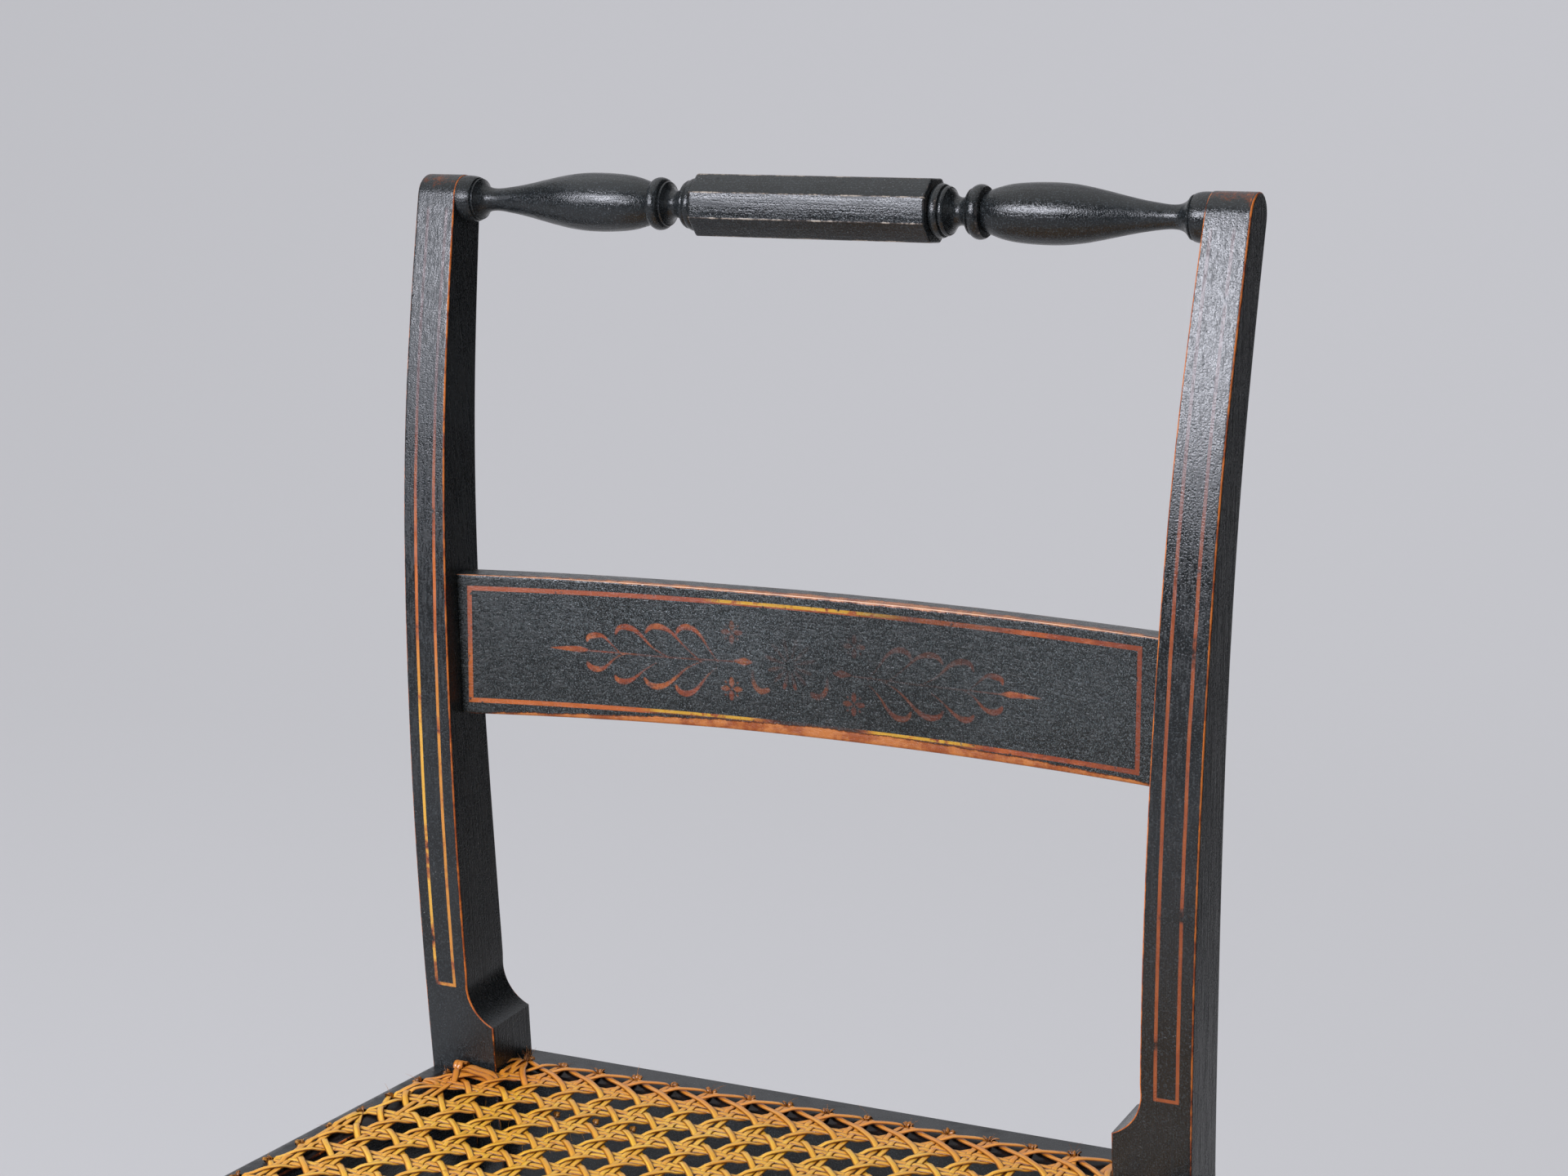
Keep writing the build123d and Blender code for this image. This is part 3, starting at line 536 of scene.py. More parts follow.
board = {"bottom": 165.8, "height": 60.5, "thickness": 10.5, "lean": 4.7, "bow": 14.4, "middle": 10.8,
         "reach": 161.4, "round": 1.3, "crisp": 0.8,
         # Along the board: added wear of the lower and upper edge, and height of the bare bands beside them.
         "bottomWorn": [(-160, -0.35), (-110, -0.15), (-60, 0.0), (60, 0.06), (160, -0.12)],
         "topWorn": [(-160, -0.25), (-100, -0.1), (-20, 0.04), (60, 0.0), (160, -0.1)],
         "lowBand": [(-160, -0.5), (-145, 0.9), (-90, 2.3), (-50, 3.5), (0, 4.6), (40, 4.4), (100, 3.3),
                     (145, 1.8), (160, 1.2)],
         "highBand": [(-160, -1.5), (-125, 0.0), (-60, 0.3), (0, 0.6), (40, 0.9), (80, 0.6), (160, 0.0)]}


def boardFront(x, z):
    share = (z - board["bottom"]) / board["height"]
    return board["middle"] + board["lean"] * share - board["bow"] * (x / board["reach"]) ** 2


def taperedStroke(points, widths):
    # Discs along a bent stroke; each is its place and its radius.
    lengths = lengthsAlong(points)
    fine = np.linspace(0, lengths[-1], max(4, int(lengths[-1] / 0.25)))
    return np.column_stack([smoothed(points, fine), np.interp(fine, lengths, widths)])


# Each leaf is a comma: from the stem out to its crown and hooked back at the tip.
leaves = [
    [(80.3, -0.2), (85.1, 4.0), (88.6, 6.6), (92.3, 6.6), (94.9, 5.7), (95.5, 4.0)],
    [(57.3, -0.8), (65.7, 3.6), (71.1, 8.6), (76.5, 11.1), (80.8, 10.3), (82.2, 7.9)],
    [(42.2, -1.4), (51.2, 5.8), (57.3, 10.9), (62.1, 12.3), (66.3, 11.4), (68.1, 9.3)],
    [(33.8, -1.3), (39.2, 5.5), (44.0, 11.3), (48.8, 13.0), (52.4, 11.8), (53.6, 9.8)],
    [(76.6, -0.5), (82.7, -3.1), (87.6, -7.4), (91.8, -8.2), (94.8, -6.7), (95.4, -5.6)],
    [(62.8, -3.5), (69.5, -7.9), (74.3, -11.6), (78.6, -13.0), (81.6, -12.1), (82.5, -10.8)],
    [(41.0, -1.3), (48.9, -5.2), (56.2, -11.4), (62.2, -14.1), (67.1, -12.8), (68.6, -10.8)],
    [(34.4, -3.5), (39.2, -7.8), (44.1, -13.8), (48.9, -16.2), (52.6, -15.0), (53.8, -12.9)]]


def leafSpray():
    # One half of the spray, from the middle out; the other half mirrors it.
    discs = [taperedStroke([(27, -0.4), (60, -0.8), (96, -0.2)], [0.3, 0.25, 0.35]),
             taperedStroke([(95, -0.1), (99, 0.1), (105, 0.2), (112.5, 0.1)], [0.4, 1.35, 1.0, 0.2])]
    discs += [taperedStroke(leaf, [0.15, 0.35, 0.8, 1.35, 1.0, 0.5]) for leaf in leaves]
    discs.append(taperedStroke([(18, 0), (21.5, 0), (26, 0)], [0.4, 1.7, 0.5]))
    for way in (1, -1):
        middle = np.array((27.5, way * 12.3))
        for first, reaches, widths in ((0, (0.9, 2.6, 4.2), [0.3, 1.25, 0.9]), (45, (3.6, 4.2), [0.4, 0.4])):
            for angle in np.radians(np.arange(first, 360, 90)):
                ray = np.array((math.cos(angle), math.sin(angle)))
                discs.append(taperedStroke([middle + ray * reach for reach in reaches], widths))
    return np.concatenate(discs)


def fanSpray():
    # The fan between the two halves: petals from one point, above and below, with curls beneath.
    discs = []
    for angle in np.radians(np.arange(15, 360, 30)):
        ray = np.array((math.cos(angle), math.sin(angle)))
        reach = 11.5 if math.sin(angle) > 0 else 10.0
        discs.append(taperedStroke([ray * 2.5, ray * (reach - 2.5), ray * reach], [0.25, 0.95, 0.7]))
    for way in (1, -1):
        turn = [(way * 17.5, -3.5), (way * 17.2, -8.5), (way * 13.5, -12.2), (way * 10.5, -11.4)]
        discs.append(taperedStroke(turn, [0.5, 0.9, 1.3, 1.1]))
    return np.concatenate(discs)


def sprayField(x, z):
    # Distance from the drawn shapes, and how strongly each is still painted.
    middleX, middleZ = -8.0, 196.0
    half, fan = leafSpray(), fanSpray()
    left, right = half * (-1, 1, 1), half * (1.015, 1, 1) + (2.2, -1.3, 0)
    discs = np.concatenate([left, right, fan]) + (middleX, middleZ, 0)
    strength = np.concatenate([ramped(-left[:, 0], [(18, 0.55), (33, 0.5), (45, 0.8), (113, 0.9)]),
                               ramped(right[:, 0], [(18, 0.6), (30, 0.4), (60, 0.42), (92, 0.5), (98, 0.85)]),
                               np.where(fan[:, 1] < -8, 0.4, 0.1)])
    lower = (discs[:, 1] < middleZ - 4) & (discs[:, 0] > middleX + 15)
    strength[lower] = np.minimum(strength[lower] * 1.9, 0.95)
    strength[(discs[:, 1] > middleZ + 5) & (np.abs(discs[:, 0] - middleX) < 33)] *= 0.5    # the flowers
    apart, shown = np.full(len(x), 9.0), np.zeros(len(x))
    near = np.flatnonzero((np.abs(x - middleX) < 118) & (np.abs(z - middleZ) < 22))
    for part in np.array_split(near, 24):
        away = np.hypot(x[part, None] - discs[:, 0], z[part, None] - discs[:, 1]) - discs[:, 2]
        closest = away.argmin(1)
        apart[part], shown[part] = away[np.arange(len(part)), closest], strength[closest]
    return apart, shown


def makeBoard():
    low, high = board["bottom"], board["bottom"] + board["height"]
    r, thick, crisp = board["round"], board["thickness"], board["crisp"]
    turns = np.radians([0, 22, 45, 68, 90])
    # Each point round the board: height, set back from the front face, wear (above 0.8 a pale painted highlight),
    # on the face.
    section = [(low, thick - 2.0, 0.62, False), (low, r + 1.5, 0.66, False)]
    section += [(low + a, b, 0.7 * w, False) for (a, b), w in zip(rounding(r, turns), (1, 1, 1, 0.85, 0.5))]
    section += [(z, 0.0, 0.0, True) for z in np.arange(low + r + 0.6, high - crisp - 0.5, 0.7)]
    # The upper arris peaks at 1.2, past the wear, which paints the pale highlight along its ridge.
    section += [(high - b, a, w, False) for (a, b), w in zip(rounding(crisp, turns), (0.2, 0.56, 1.2, 0.56, 0.2))]
    section += [(high, crisp + 0.6, 0.0, False), (high, thick - 2.0, 0.0, False)]
    section += [(high - a, thick - b, 0.5, False) for a, b in rounding(0.8, turns[::2])]
    section += [(high - 3, thick, 0.0, False), (low + 3, thick, 0.0, False)]
    section += [(low + b, thick - a, 0.5, False) for a, b in rounding(0.8, turns[::2])]
    z, back, wear, face = (np.array(column) for column in zip(*section))
    shares = np.concatenate([[-1, -0.9965, -0.992], np.linspace(-0.985, 0.985, 461), [0.992, 0.9965, 1]])
    x = shares[:, None] * (postInner(z) + 0.3)
    # The left end stands a little taller and further forward than the right.
    aside = np.clip((-x - 40) / 120, 0, 1)
    heights = z + aside * np.interp(z, (low, high), (-1.3, 0.8))
    y = boardFront(x, heights) + back - 1.6 * aside ** 2
    fromEnd = (1 - np.abs(shares))[:, None] * 161
    y += np.where(back < thick / 2, np.maximum(0, 1.1 - fromEnd) ** 2 * 0.9, 0)
    wornAndHighlit = np.broadcast_to(wear, x.shape).copy()
    wornAndHighlit += np.where((back < thick - 1) & (z < low + 2), ramped(x, board["bottomWorn"]), 0)
    wornAndHighlit += np.where((z > high - 1.5) & (back < 2), ramped(x, board["topWorn"]), 0)
    wornAndHighlit *= np.clip(wornAndHighlit * 10, 0, 1)
    # The front is worn bare along its lower edge, most below the middle, and a little along its upper edge.
    for part, away in (("lowBand", z - low), ("highBand", high - z)):
        bare = 0.5 + 0.26 * np.clip((ramped(x, board[part]) - away) / 0.9, -2, 1)
        wornAndHighlit = np.where(back < 2, np.maximum(wornAndHighlit, bare), wornAndHighlit)
    flat = np.stack([x.ravel(), heights.ravel()], 1)
    onFace = np.broadcast_to(face, x.shape).ravel()
    apart, shown = np.full(len(flat), 9.0), np.zeros(len(flat))
    apart[onFace], shown[onFace] = sprayField(*flat[onFace].T)
    quads = gridQuads(len(shares), len(z), wrapColumns=True)
    seg = np.arange(len(quads)) % len(z)
    corners = flat[quads]
    corners[~(face[seg] & face[(seg + 1) % len(z)])] = offFace
    points = np.stack([x, y, heights], -1).reshape(-1, 3)
    addPiece("middleRailBoard", points, quads, borderedPaint, ["middle_rail"],
             {"wear": wornAndHighlit, "spray": apart, "sprayStrength": shown}, corners, flip=True)


makeBoard()


def turnedShape(profile, segments=72):
    # Profile points are (radius, distance along the axis, wear).
    radius, along, wear = (np.array(column, float) for column in zip(*profile))
    turns = np.linspace(0, 2 * math.pi, segments, endpoint=False)
    points = np.stack([np.outer(radius, np.cos(turns)), np.outer(radius, np.sin(turns)),
                       np.broadcast_to(along[:, None], (len(radius), segments))], -1)
    return points.reshape(-1, 3), gridQuads(len(radius), segments, wrapColumns=True), np.repeat(wear, segments)


def roundedProfile(knots, step=0.7):
    # A smooth curve through knots; a knot given twice makes a crisp corner there.
    runs = [[knots[0]]]
    for knot in knots[1:]:
        if knot == runs[-1][-1]:
            runs.append([knot])
        else:
            runs[-1].append(knot)
    points = []
    for run in runs:
        if len(run) > 2:
            run = smoothed(run, max(4, int(lengthsAlong(run)[-1] / step)))
        points += [tuple(p) for p in np.array(run, float)]
    return points


crest = {
    "half": 54.0, "across": 26.1, "tilt": math.radians(7),    # the octagonal tablet
    # The rings that are a little rubbed: place along the crest and wear.
    "rubbed": {55.4: 0.3, 57.6: 0.36, 60.0: 0.3, 70.2: 0.38, 71.8: 0.3, 75.5: 0.36, 164.6: 0.3},
    "knots": [
        (9.4, 50), (9.4, 54.4), (9.4, 54.4), (10.7, 54.7), (11.0, 55.4), (11.0, 57.4), (10.7, 58.0),
        (10.7, 58.0), (9.7, 58.2), (9.7, 58.2), (10.1, 58.8), (10.15, 59.8), (9.7, 60.5), (9.7, 60.5),
        (9.3, 60.6), (9.3, 60.6), (7.85, 61.9), (6.4, 63.3), (5.75, 65.0), (5.85, 66.5), (6.8, 68.0),
        (8.7, 69.3), (8.7, 69.3), (9.4, 69.6), (9.6, 70.2), (9.2, 70.7), (9.2, 70.7), (10.2, 71.0),
        (10.8, 71.8), (10.8, 75.3), (10.4, 75.9), (10.4, 75.9), (8.1, 76.1), (8.1, 76.1), (9.35, 79.3),
        (10.95, 84.5), (12.2, 93.5), (12.55, 104), (12.15, 112.5), (10.8, 121.7), (8.85, 131), (6.85, 140.3),
        (5.4, 149.1), (4.85, 155.6), (5.35, 158.8), (6.6, 161), (8.3, 162.6), (8.3, 162.6), (8.9, 163.0),
        (9.0, 163.6), (8.7, 164.0), (8.7, 164.0), (9.3, 164.2), (9.6, 164.8), (9.6, 175)]}


def makeCrest():
    half, corner = crest["half"], crest["across"] / 2 / math.cos(math.pi / 8)
    profile = [(r, z, max([w for at, w in crest["rubbed"].items() if abs(at - z) < 0.5], default=0.0))
               for r, z in roundedProfile(crest["knots"])]
    places, quads, wears, count = [], [], [], 0
    for way in (1, -1):
        points, faces, wear = turnedShape(profile)
        places.append(np.stack([points[:, 2] * way, points[:, 0], points[:, 1]], 1))
        quads += [list(f + count) for f in (faces[:, ::-1] if way > 0 else faces)]
        wears.append(wear)
        count += len(points)
    # The octagonal tablet, with each arris slightly rounded: distance from the arris, set in, wear.
    rounding = [(1.1, 0.0, 0.0), (0.5, 0.1, 0.36), (0.2, 0.1, 0.5)]
    ring = []
    for i in range(8):
        angle = math.pi / 8 + i * math.pi / 4 + crest["tilt"]
        outward = np.array((-math.cos(angle), math.sin(angle)))
        for way, steps in ((-1, rounding), (1, rounding[::-1])):
            turn = angle + way * math.pi * 5 / 8
            towards = np.array((-math.cos(turn), math.sin(turn)))
            ring += [(*(outward * (corner - inset) + towards * offset), wear) for offset, inset, wear in steps]
    ring = np.array(ring)
    # Sections along the tablet: place, size, wear.
    ends = [(0, 0.95, 0.2), (0.25, 0.98, 0.36), (0.7, 1.0, 0.36), (1.4, 1.0, 0.0)]
    stations = [(away - half, size, wear) for away, size, wear in ends]
    stations += [(x, 1.0, 0.0) for x in np.linspace(-half + 8, half - 8, 13)]
    stations += [(half - away, size, wear) for away, size, wear in ends[::-1]]
    for x, size, wear in stations:
        places.append(np.column_stack([np.full(len(ring), x), ring[:, :2] * size]))
        wears.append(np.maximum(ring[:, 2], wear))
    quads += [list(f + count) for f in gridQuads(len(stations), len(ring), wrapColumns=True)]
    last = count + (len(stations) - 1) * len(ring)
    quads += [list(range(count, count + len(ring)))[::-1], list(range(last, last + len(ring)))]
    addPiece("crestRailTurned", np.concatenate(places) + (0, *post["top"]), quads, crestPaint, ["crest_rail"],
             {"wear": np.concatenate(wears)}, sharp=35)


makeCrest()


weaving = {"pitch": 19.0, "frontRow": -361.0, "lastRow": 18,
           "pairGap": 1.66,       # from the middle of a pair to each strand
           "bed": 1.4,            # middle of the woven cane above the rails
           "lowBed": 0.62,        # and of a strand beside its hole
           "halfWidth": 1.53}
pitch, frontRow, lastRow, pairGap, caneBed, lowBed, halfStrand = weaving.values()


def sideHoleX(y):
    return 173.0 + (-18.9 - y) * taper


rearHoles = [((i + 0.5) * pitch, 0.0) for i in range(-8, 8)]
frontHoles = [((i + 0.5) * pitch, frontRow) for i in range(-10, 10)]
sideHoles = [(side * sideHoleX(-pitch * k), -pitch * k) for k in range(2, lastRow) for side in (-1, 1)]
cornerHoles = [(-168.0, -26.0), (168.0, -26.0), (-204.0, -354.0), (204.0, -354.0)]
allHoles = rearHoles + frontHoles + sideHoles + cornerHoles


base = {"floor": -445.0, "legAxis": (207.0, -355.0), "blockBottom": -75.0, "crossHeight": -233.0,
        "sideHeights": {"upper": -173.0, "lower": -293.0}, "rearAxisX": 166.0, "socket": 14.0, "kick": 57.9,
        "sag": 1.8365}

legKnots = [
    (10.5, 0), (13.6, 4), (14.5, 9), (13.2, 17), (10, 26), (10, 26), (13.4, 27.4), (14, 29.5), (13.2, 32),
    (11, 34), (11, 34), (12.9, 100), (14.6, 192), (14.8, 250), (14.2, 278), (14.2, 278), (16.2, 280),
    (16.8, 283), (15.8, 287), (15.8, 287), (10.5, 289), (10.5, 289), (12, 296), (16, 310), (17.5, 320),
    (16, 332), (10.5, 348), (10.5, 348), (13.5, 350), (13.5, 350), (15.8, 351), (16.5, 353), (15.8, 355),
    (13.5, 356), (13.5, 356), (11.5, 358), (11.5, 358), (12.5, 364), (15.5, 370), (15.5, 372)]
frontStretcherKnots = [
    (15, 0), (14, 6), (10, 13), (8, 15), (8, 15), (12, 16), (12, 16), (12, 19), (12, 19), (7.5, 20), (7.5, 20),
    (7.5, 23), (10.5, 34), (11.8, 48), (11, 66), (8.2, 92), (8.2, 92), (10, 95), (9.4, 98), (9.4, 98), (7, 99),
    (7, 99), (9, 124), (8.5, 150), (6.5, 192), (6.5, 192), (6.5, 206)]


def wornProfile(knots, rings=0.1):
    # The proudest rings of a turning are a little rubbed.
    points = roundedProfile(knots)
    most = max(r for r, _ in points)
    return [(r, z, rings + 0.16 if r > most - 0.5 else rings * 0.6) for r, z in points]


def standBetween(points, start, end):
    # Lays points that stand along Z on the line from start to end.
    start, end = np.array(start, float), np.array(end, float)
    along = (end - start) / np.linalg.norm(end - start)
    side = np.cross(along, (0, 0.6, 0.8))
    side /= np.linalg.norm(side)
    return start + points @ np.stack([side, np.cross(along, side), along])


def legFrontAt(z):
    share = -z / 445
    return -18.9 + base["kick"] * share ** base["sag"]


def addTurned(name, profile, start, end, node):
    points, quads, wear = turnedShape(profile, 64)
    addPiece(name, standBetween(points, start, end), quads, legPaint, [node], {"wear": wear}, sharp=35)


def makeStretchers():
    half = wornProfile(frontStretcherKnots)
    whole = [(r, -z, w) for r, z, w in half[::-1]] + half[1:]
    (legX, legY), z, socket = base["legAxis"], base["crossHeight"], base["socket"]
    addTurned("frontStretcherTurned", whole, (0, legY, z), (1, legY, z), "front_stretcher")
    rearX, rearY = float(postInner(z)) + socket, legFrontAt(z) + 15
    spans = [("rear_stretcher", (-rearX, rearY, z), (rearX, rearY, z))]
    for side, label in ((-1, "left"), (1, "right")):
        for level, height in base["sideHeights"].items():
            spans.append((f"{level}_{label}_stretcher", (side * legX, legY + 1, height),
                          (side * base["rearAxisX"], legFrontAt(height) + socket, height)))
    for node, start, end in spans:
        length = math.dist(start, end)
        knots = [(6.5, 0), (6.5, 14), (6.5, 14), (7.9, length * 0.18), (9.3, length * 0.36), (9.5, length * 0.5),
                 (9.3, length * 0.64), (7.9, length * 0.82), (6.5, length - 14), (6.5, length - 14), (6.5, length)]
        first, *others = node.split("_")
        profile = [(r, along, 0.12) for r, along in roundedProfile(knots, 3)]
        addTurned(first + "".join(word.title() for word in others) + "Turned", profile, start, end, node)


def sawnPiece(name, outline, bottom, material, nodes, softened, holes=()):
    # A board or block up to the seat's top with rubbed arrises; softened says which top edges are rounded more.
    shape = bmesh.new()
    wearLayer = shape.loops.layers.float.new("wear")
    low, high = ([shape.verts.new((x, y, z)) for x, y in outline] for z in (bottom, 0))
    shape.faces.new(low[::-1])
    shape.faces.new(high)
    soft = []
    for i in range(len(outline)):
        j = (i + 1) % len(outline)
        shape.faces.new((low[i], low[j], high[j], high[i]))
        if softened(*(np.array(outline[i]) + outline[j]) / 2):
            soft.append(next(e for e in high[i].link_edges if e.other_vert(high[i]) is high[j]))
    if soft:
        bmesh.ops.bevel(shape, geom=soft, offset=3.0, segments=6, profile=0.5, affect="EDGES")
    sharp = [e for e in shape.edges if len(e.link_faces) == 2 and e.calc_face_angle(0) > math.radians(30)]
    made = bmesh.ops.bevel(shape, geom=sharp, offset=0.7, segments=3, profile=0.5, affect="EDGES")
    for face in made["faces"]:
        for loop in face.loops:
            loop[wearLayer] = 0.46
    mesh = bpy.data.meshes.new(name)
    for vert in shape.verts:
        vert.co = Vector(toFrame(vert.co))
    bmesh.ops.recalc_face_normals(shape, faces=shape.faces)
    shape.to_mesh(mesh)
    shape.free()
    if holes:
        mesh = drilled(mesh, holes, bottom)
    standIn(name, mesh, material, nodes, 32)


def drilled(mesh, holes, bottom, sides=20, radius=2.75):
    # Round cane holes cut right through.
    turns = np.linspace(0, 2 * math.pi, sides, endpoint=False)
    points, faces = [], []
    for x, y in holes:
        start = len(points)
        for z in (bottom - 2, 2):
            points += [(x + radius * math.cos(t), y + radius * math.sin(t), z) for t in turns]
        low, high = (list(range(first, first + sides)) for first in (start, start + sides))
        faces += [low[::-1], high]
        faces += [[low[i - 1], low[i], high[i], high[i - 1]] for i in [*range(1, sides), 0]]
    drill = bpy.data.meshes.new("drill")
    drill.from_pydata([tuple(p) for p in toFrame(points)], [], faces)
    bit, work = addObject("drill", drill), addObject("work", mesh)
    cut = work.modifiers.new("holes", "BOOLEAN")
    cut.object, cut.operation, cut.solver = bit, "DIFFERENCE", "EXACT"
    done = bpy.data.meshes.new_from_object(work.evaluated_get(bpy.context.evaluated_depsgraph_get()))
    for thing in (bit, work):
        bpy.data.objects.remove(thing)
    for old in (drill, mesh):
        bpy.data.meshes.remove(old)
    return done


seat = {"under": -52.0, "rear": (-10, 12.6), "front": (-373.0, -351.0), "frontHalf": 189,
        "sideEnds": (-18.9, -337), "sideOuter": 181, "sideWidth": 22, "legHalf": 18}


def sideRailX(y):
    return seat["sideOuter"] + (seat["sideEnds"][0] - y) * taper


def box(left, right, near, far):
    return [(left, near), (right, near), (right, far), (left, far)]


def makeSeatFrame():
    under, front, wide, leg = seat["under"], seat["front"][0], seat["sideWidth"], seat["legHalf"]
    (back, ahead), frontHalf = seat["sideEnds"], seat["frontHalf"]
    sawnPiece("rearSeatRailSawn", box(-post["block"], post["block"], *seat["rear"]), under, railPaint,
              ["rear_seat_rail"], lambda x, y: False, rearHoles)
    sawnPiece("frontSeatRailSawn", box(-frontHalf, frontHalf, *seat["front"]), under, railPaint,
              ["front_seat_rail"], lambda x, y: y < front + 1, [h for h in frontHoles if abs(h[0]) < frontHalf - 1])
    x, y = base["legAxis"]
    for side, label in ((-1, "left"), (1, "right")):
        outline = [(sideRailX(back), back), (sideRailX(back) - wide, back), (sideRailX(ahead) - wide, ahead),
                   (sideRailX(ahead), ahead)]
        sawnPiece(label + "SideRailSawn", [(side * px, py) for px, py in outline][::side], under, railPaint,
                  [label + "_side_rail"],
                  lambda px, py: abs(px) > sideRailX(py) - 1 and back - 1 > py > ahead + 1,
                  [h for h in sideHoles + cornerHoles if h[0] * side > 0 and h[1] > ahead])
        outline = [(side * px, py) for px, py in box(x - leg, x + leg, y - leg, y + leg)][::side]
        sawnPiece(label + "LegBlock", outline, base["blockBottom"], legPaint, [],
                  lambda px, py: py < front + 1 or abs(px) > x + leg - 1)
        addTurned(label + "FrontLegTurned", wornProfile(legKnots), (side * x, y, base["floor"]), (side * x, y, 0),
                  label + "_front_leg")


makeStretchers()
makeSeatFrame()


def caneMaterial():
    # Glossy golden cane: long fibre streaks, rounded edges darkened with painted shade, browner where it was tied
    # and along the back.
    made, shader, add = newMaterial("goldenCane")
    place, strand = add("TexCoord")["Object"], add("UVMap", uv_map="strand")
    tone, knot = (add("Attribute", attribute_name=name)["Fac"] for name in ("tone", "knot"))
    spread = add("Mapping", strand, sockets={"Scale": (1.6, 0.05, 1)})
    shifted = add("VectorMath", spread, add("CombineXYZ", tone * 97.0), operation="ADD")
    streaks = add("TexNoise", shifted, sockets={"Scale": 1.0, "Detail": 4.0})
    spot = add("SeparateXYZ", place)
    back = spot[1] + add("MapRange", spot[0], -0.1, -0.17, 0, 0.03)
    colour = add("Mix", add("MapRange", streaks, 0.3, 0.7), "#db9328", "#f3c13e")
    # Each further tone, what it follows, where it starts and is full, and its largest share.
    for further, value, start, full, most in (
            ("#dc8f2e", tone, 0.35, 1.0, 0.45),
            ("#f6cd62", noiseAt(place, 45, 3, shift=(4, 4, 4)), 0.5, 0.72, 0.45),
            ("#d67a2c", back, 0.118, 0.146, 0.65),
            # Painted shade: the strand darkens towards its sides, where its neighbours shade it.
            ("#6f350c", abs(add("SeparateXYZ", strand)), 0.8, 1.35, 0.85),
            ("#9a5a24", noiseAt(place, 6, 4, shift=(9, 2, 2)), 0.62, 0.7, 0.6)):
        colour = add("Mix", add("MapRange", value, start, full, 0, most), colour, further)
    brown = add("Mix", add("MapRange", streaks, 0.35, 0.65), "#4f2a14", "#96602c")
    bump = add("Bump", sockets={"Height": streaks, "Strength": 0.4, "Distance": 0.00012})
    fillSockets(shader, {"Base Color": add("Mix", knot, colour, brown), "Normal": bump,
                         "Roughness": add("MapRange", streaks, 0.3, 0.7, 0.38, 0.24)})
    return made


cane = caneMaterial()
sectionAcross = np.array([-1, -0.74, 0, 0.74, 1, 0.72, 0, -0.72])
sectionUp = np.array([0, 0.64, 0.86, 0.64, 0, -0.52, -0.66, -0.52])


class Weave:
    # Strands that become one piece.
    def __init__(self):
        self.strands, self.count = [], 0

    def add(self, path, halfWidth=halfStrand, halfThick=0.45, knot=0.0, tilt=0.0, tone=None):
        path = np.asarray(path, float)
        along = np.gradient(path, axis=0)
        along /= np.maximum(np.linalg.norm(along, axis=1), 1e-6)[:, None]
        side = np.cross(along, (0, 0, 1.0))
        flat = np.linalg.norm(side, axis=1)
        side = np.where(flat[:, None] > 0.25, side, side[np.argmax(flat)])
        side /= np.linalg.norm(side, axis=1)[:, None]
        up = np.cross(side, along)
        side, up = side * np.cos(tilt) + up * np.sin(tilt), up * np.cos(tilt) - side * np.sin(tilt)
        rows, columns = len(path), len(sectionAcross)
        wide, thick = (np.broadcast_to(half, rows)[:, None, None] for half in (halfWidth, halfThick))
        ring = path[:, None] + side[:, None] * sectionAcross[:, None] * wide
        ring += up[:, None] * sectionUp[:, None] * thick
        quads = gridQuads(rows, columns, wrapColumns=True)
        length = lengthsAlong(path) + dice.uniform(0, 900)
        strandMap = np.stack([np.tile(sectionAcross * 1.5, rows), np.repeat(length, columns)], 1)
        tones = np.full(rows * columns, dice.uniform() if tone is None else tone)
        knots = np.repeat(np.broadcast_to(knot, rows), columns)
        self.strands.append((ring.reshape(-1, 3), quads + self.count, tones, knots, strandMap[quads]))
        self.count += rows * columns

    def finish(self, name, nodes):
        points, faces, tones, knots, corners = (np.concatenate(column) for column in zip(*self.strands))
        addPiece(name, points, faces, cane, nodes, {"tone": tones, "knot": knots}, corners, flip=True,
                 sharp=180, mapName="strand")


def layStrand(weave, plan, height, jitter=0.3):
    # A smooth strand over plan points; height gives z from the place and the distance to both ends.
    plan = np.array(plan, float)
    plan[1:-1] += dice.normal(0, jitter, plan[1:-1].shape)
    length = lengthsAlong(plan)[-1]
    fine = np.linspace(0, length, max(8, int(length / 2.2)))
    ends = np.array([0.0, 0.5, 1.1, 1.9, 2.9])    # closer steps where the strand dips into its holes
    fine = np.unique(np.concatenate([ends, fine[(fine > 3.6) & (fine < length - 3.6)], length - ends]))
    x, y = smoothed(plan, fine).T
    path = np.stack([x, y, height(x, y, fine, length - fine)], 1)
    # It is narrower where it goes down into its holes.
    fromEnd = np.minimum(*(np.linalg.norm(path[:, :2] - path[end, :2], axis=1) for end in (0, -1)))
    weave.add(path, halfStrand * (0.64 + 0.38 * np.clip(fromEnd / 7, 0, 1)))


def dip(fromEnd, rest):
    # A strand comes up out of its hole and levels off within a few millimetres.
    share = np.clip(fromEnd / 3.4, 0, 1)
    lift = 1 - (1 - share) ** 2.4
    return rest * lift + (1 - lift) * -5.0


def bump(away):
    return np.exp(-(away / 1.55) ** 2)


def pairHeight(position, sign, fromEnd):
    # Over and under the two strands of each pair that is crossed, and lower towards the holes.
    near = (position / pitch) % 1.0
    near = (near - (near > 0.5)) * pitch
    weave = sign * 0.47 * (bump(near - pairGap) - bump(near + pairGap)) * np.clip((fromEnd - 8) / 6, 0, 1)
    bed = lowBed + (caneBed - lowBed) * np.clip(fromEnd / 13, 0, 1) ** 1.5
    return dip(fromEnd, bed + weave)


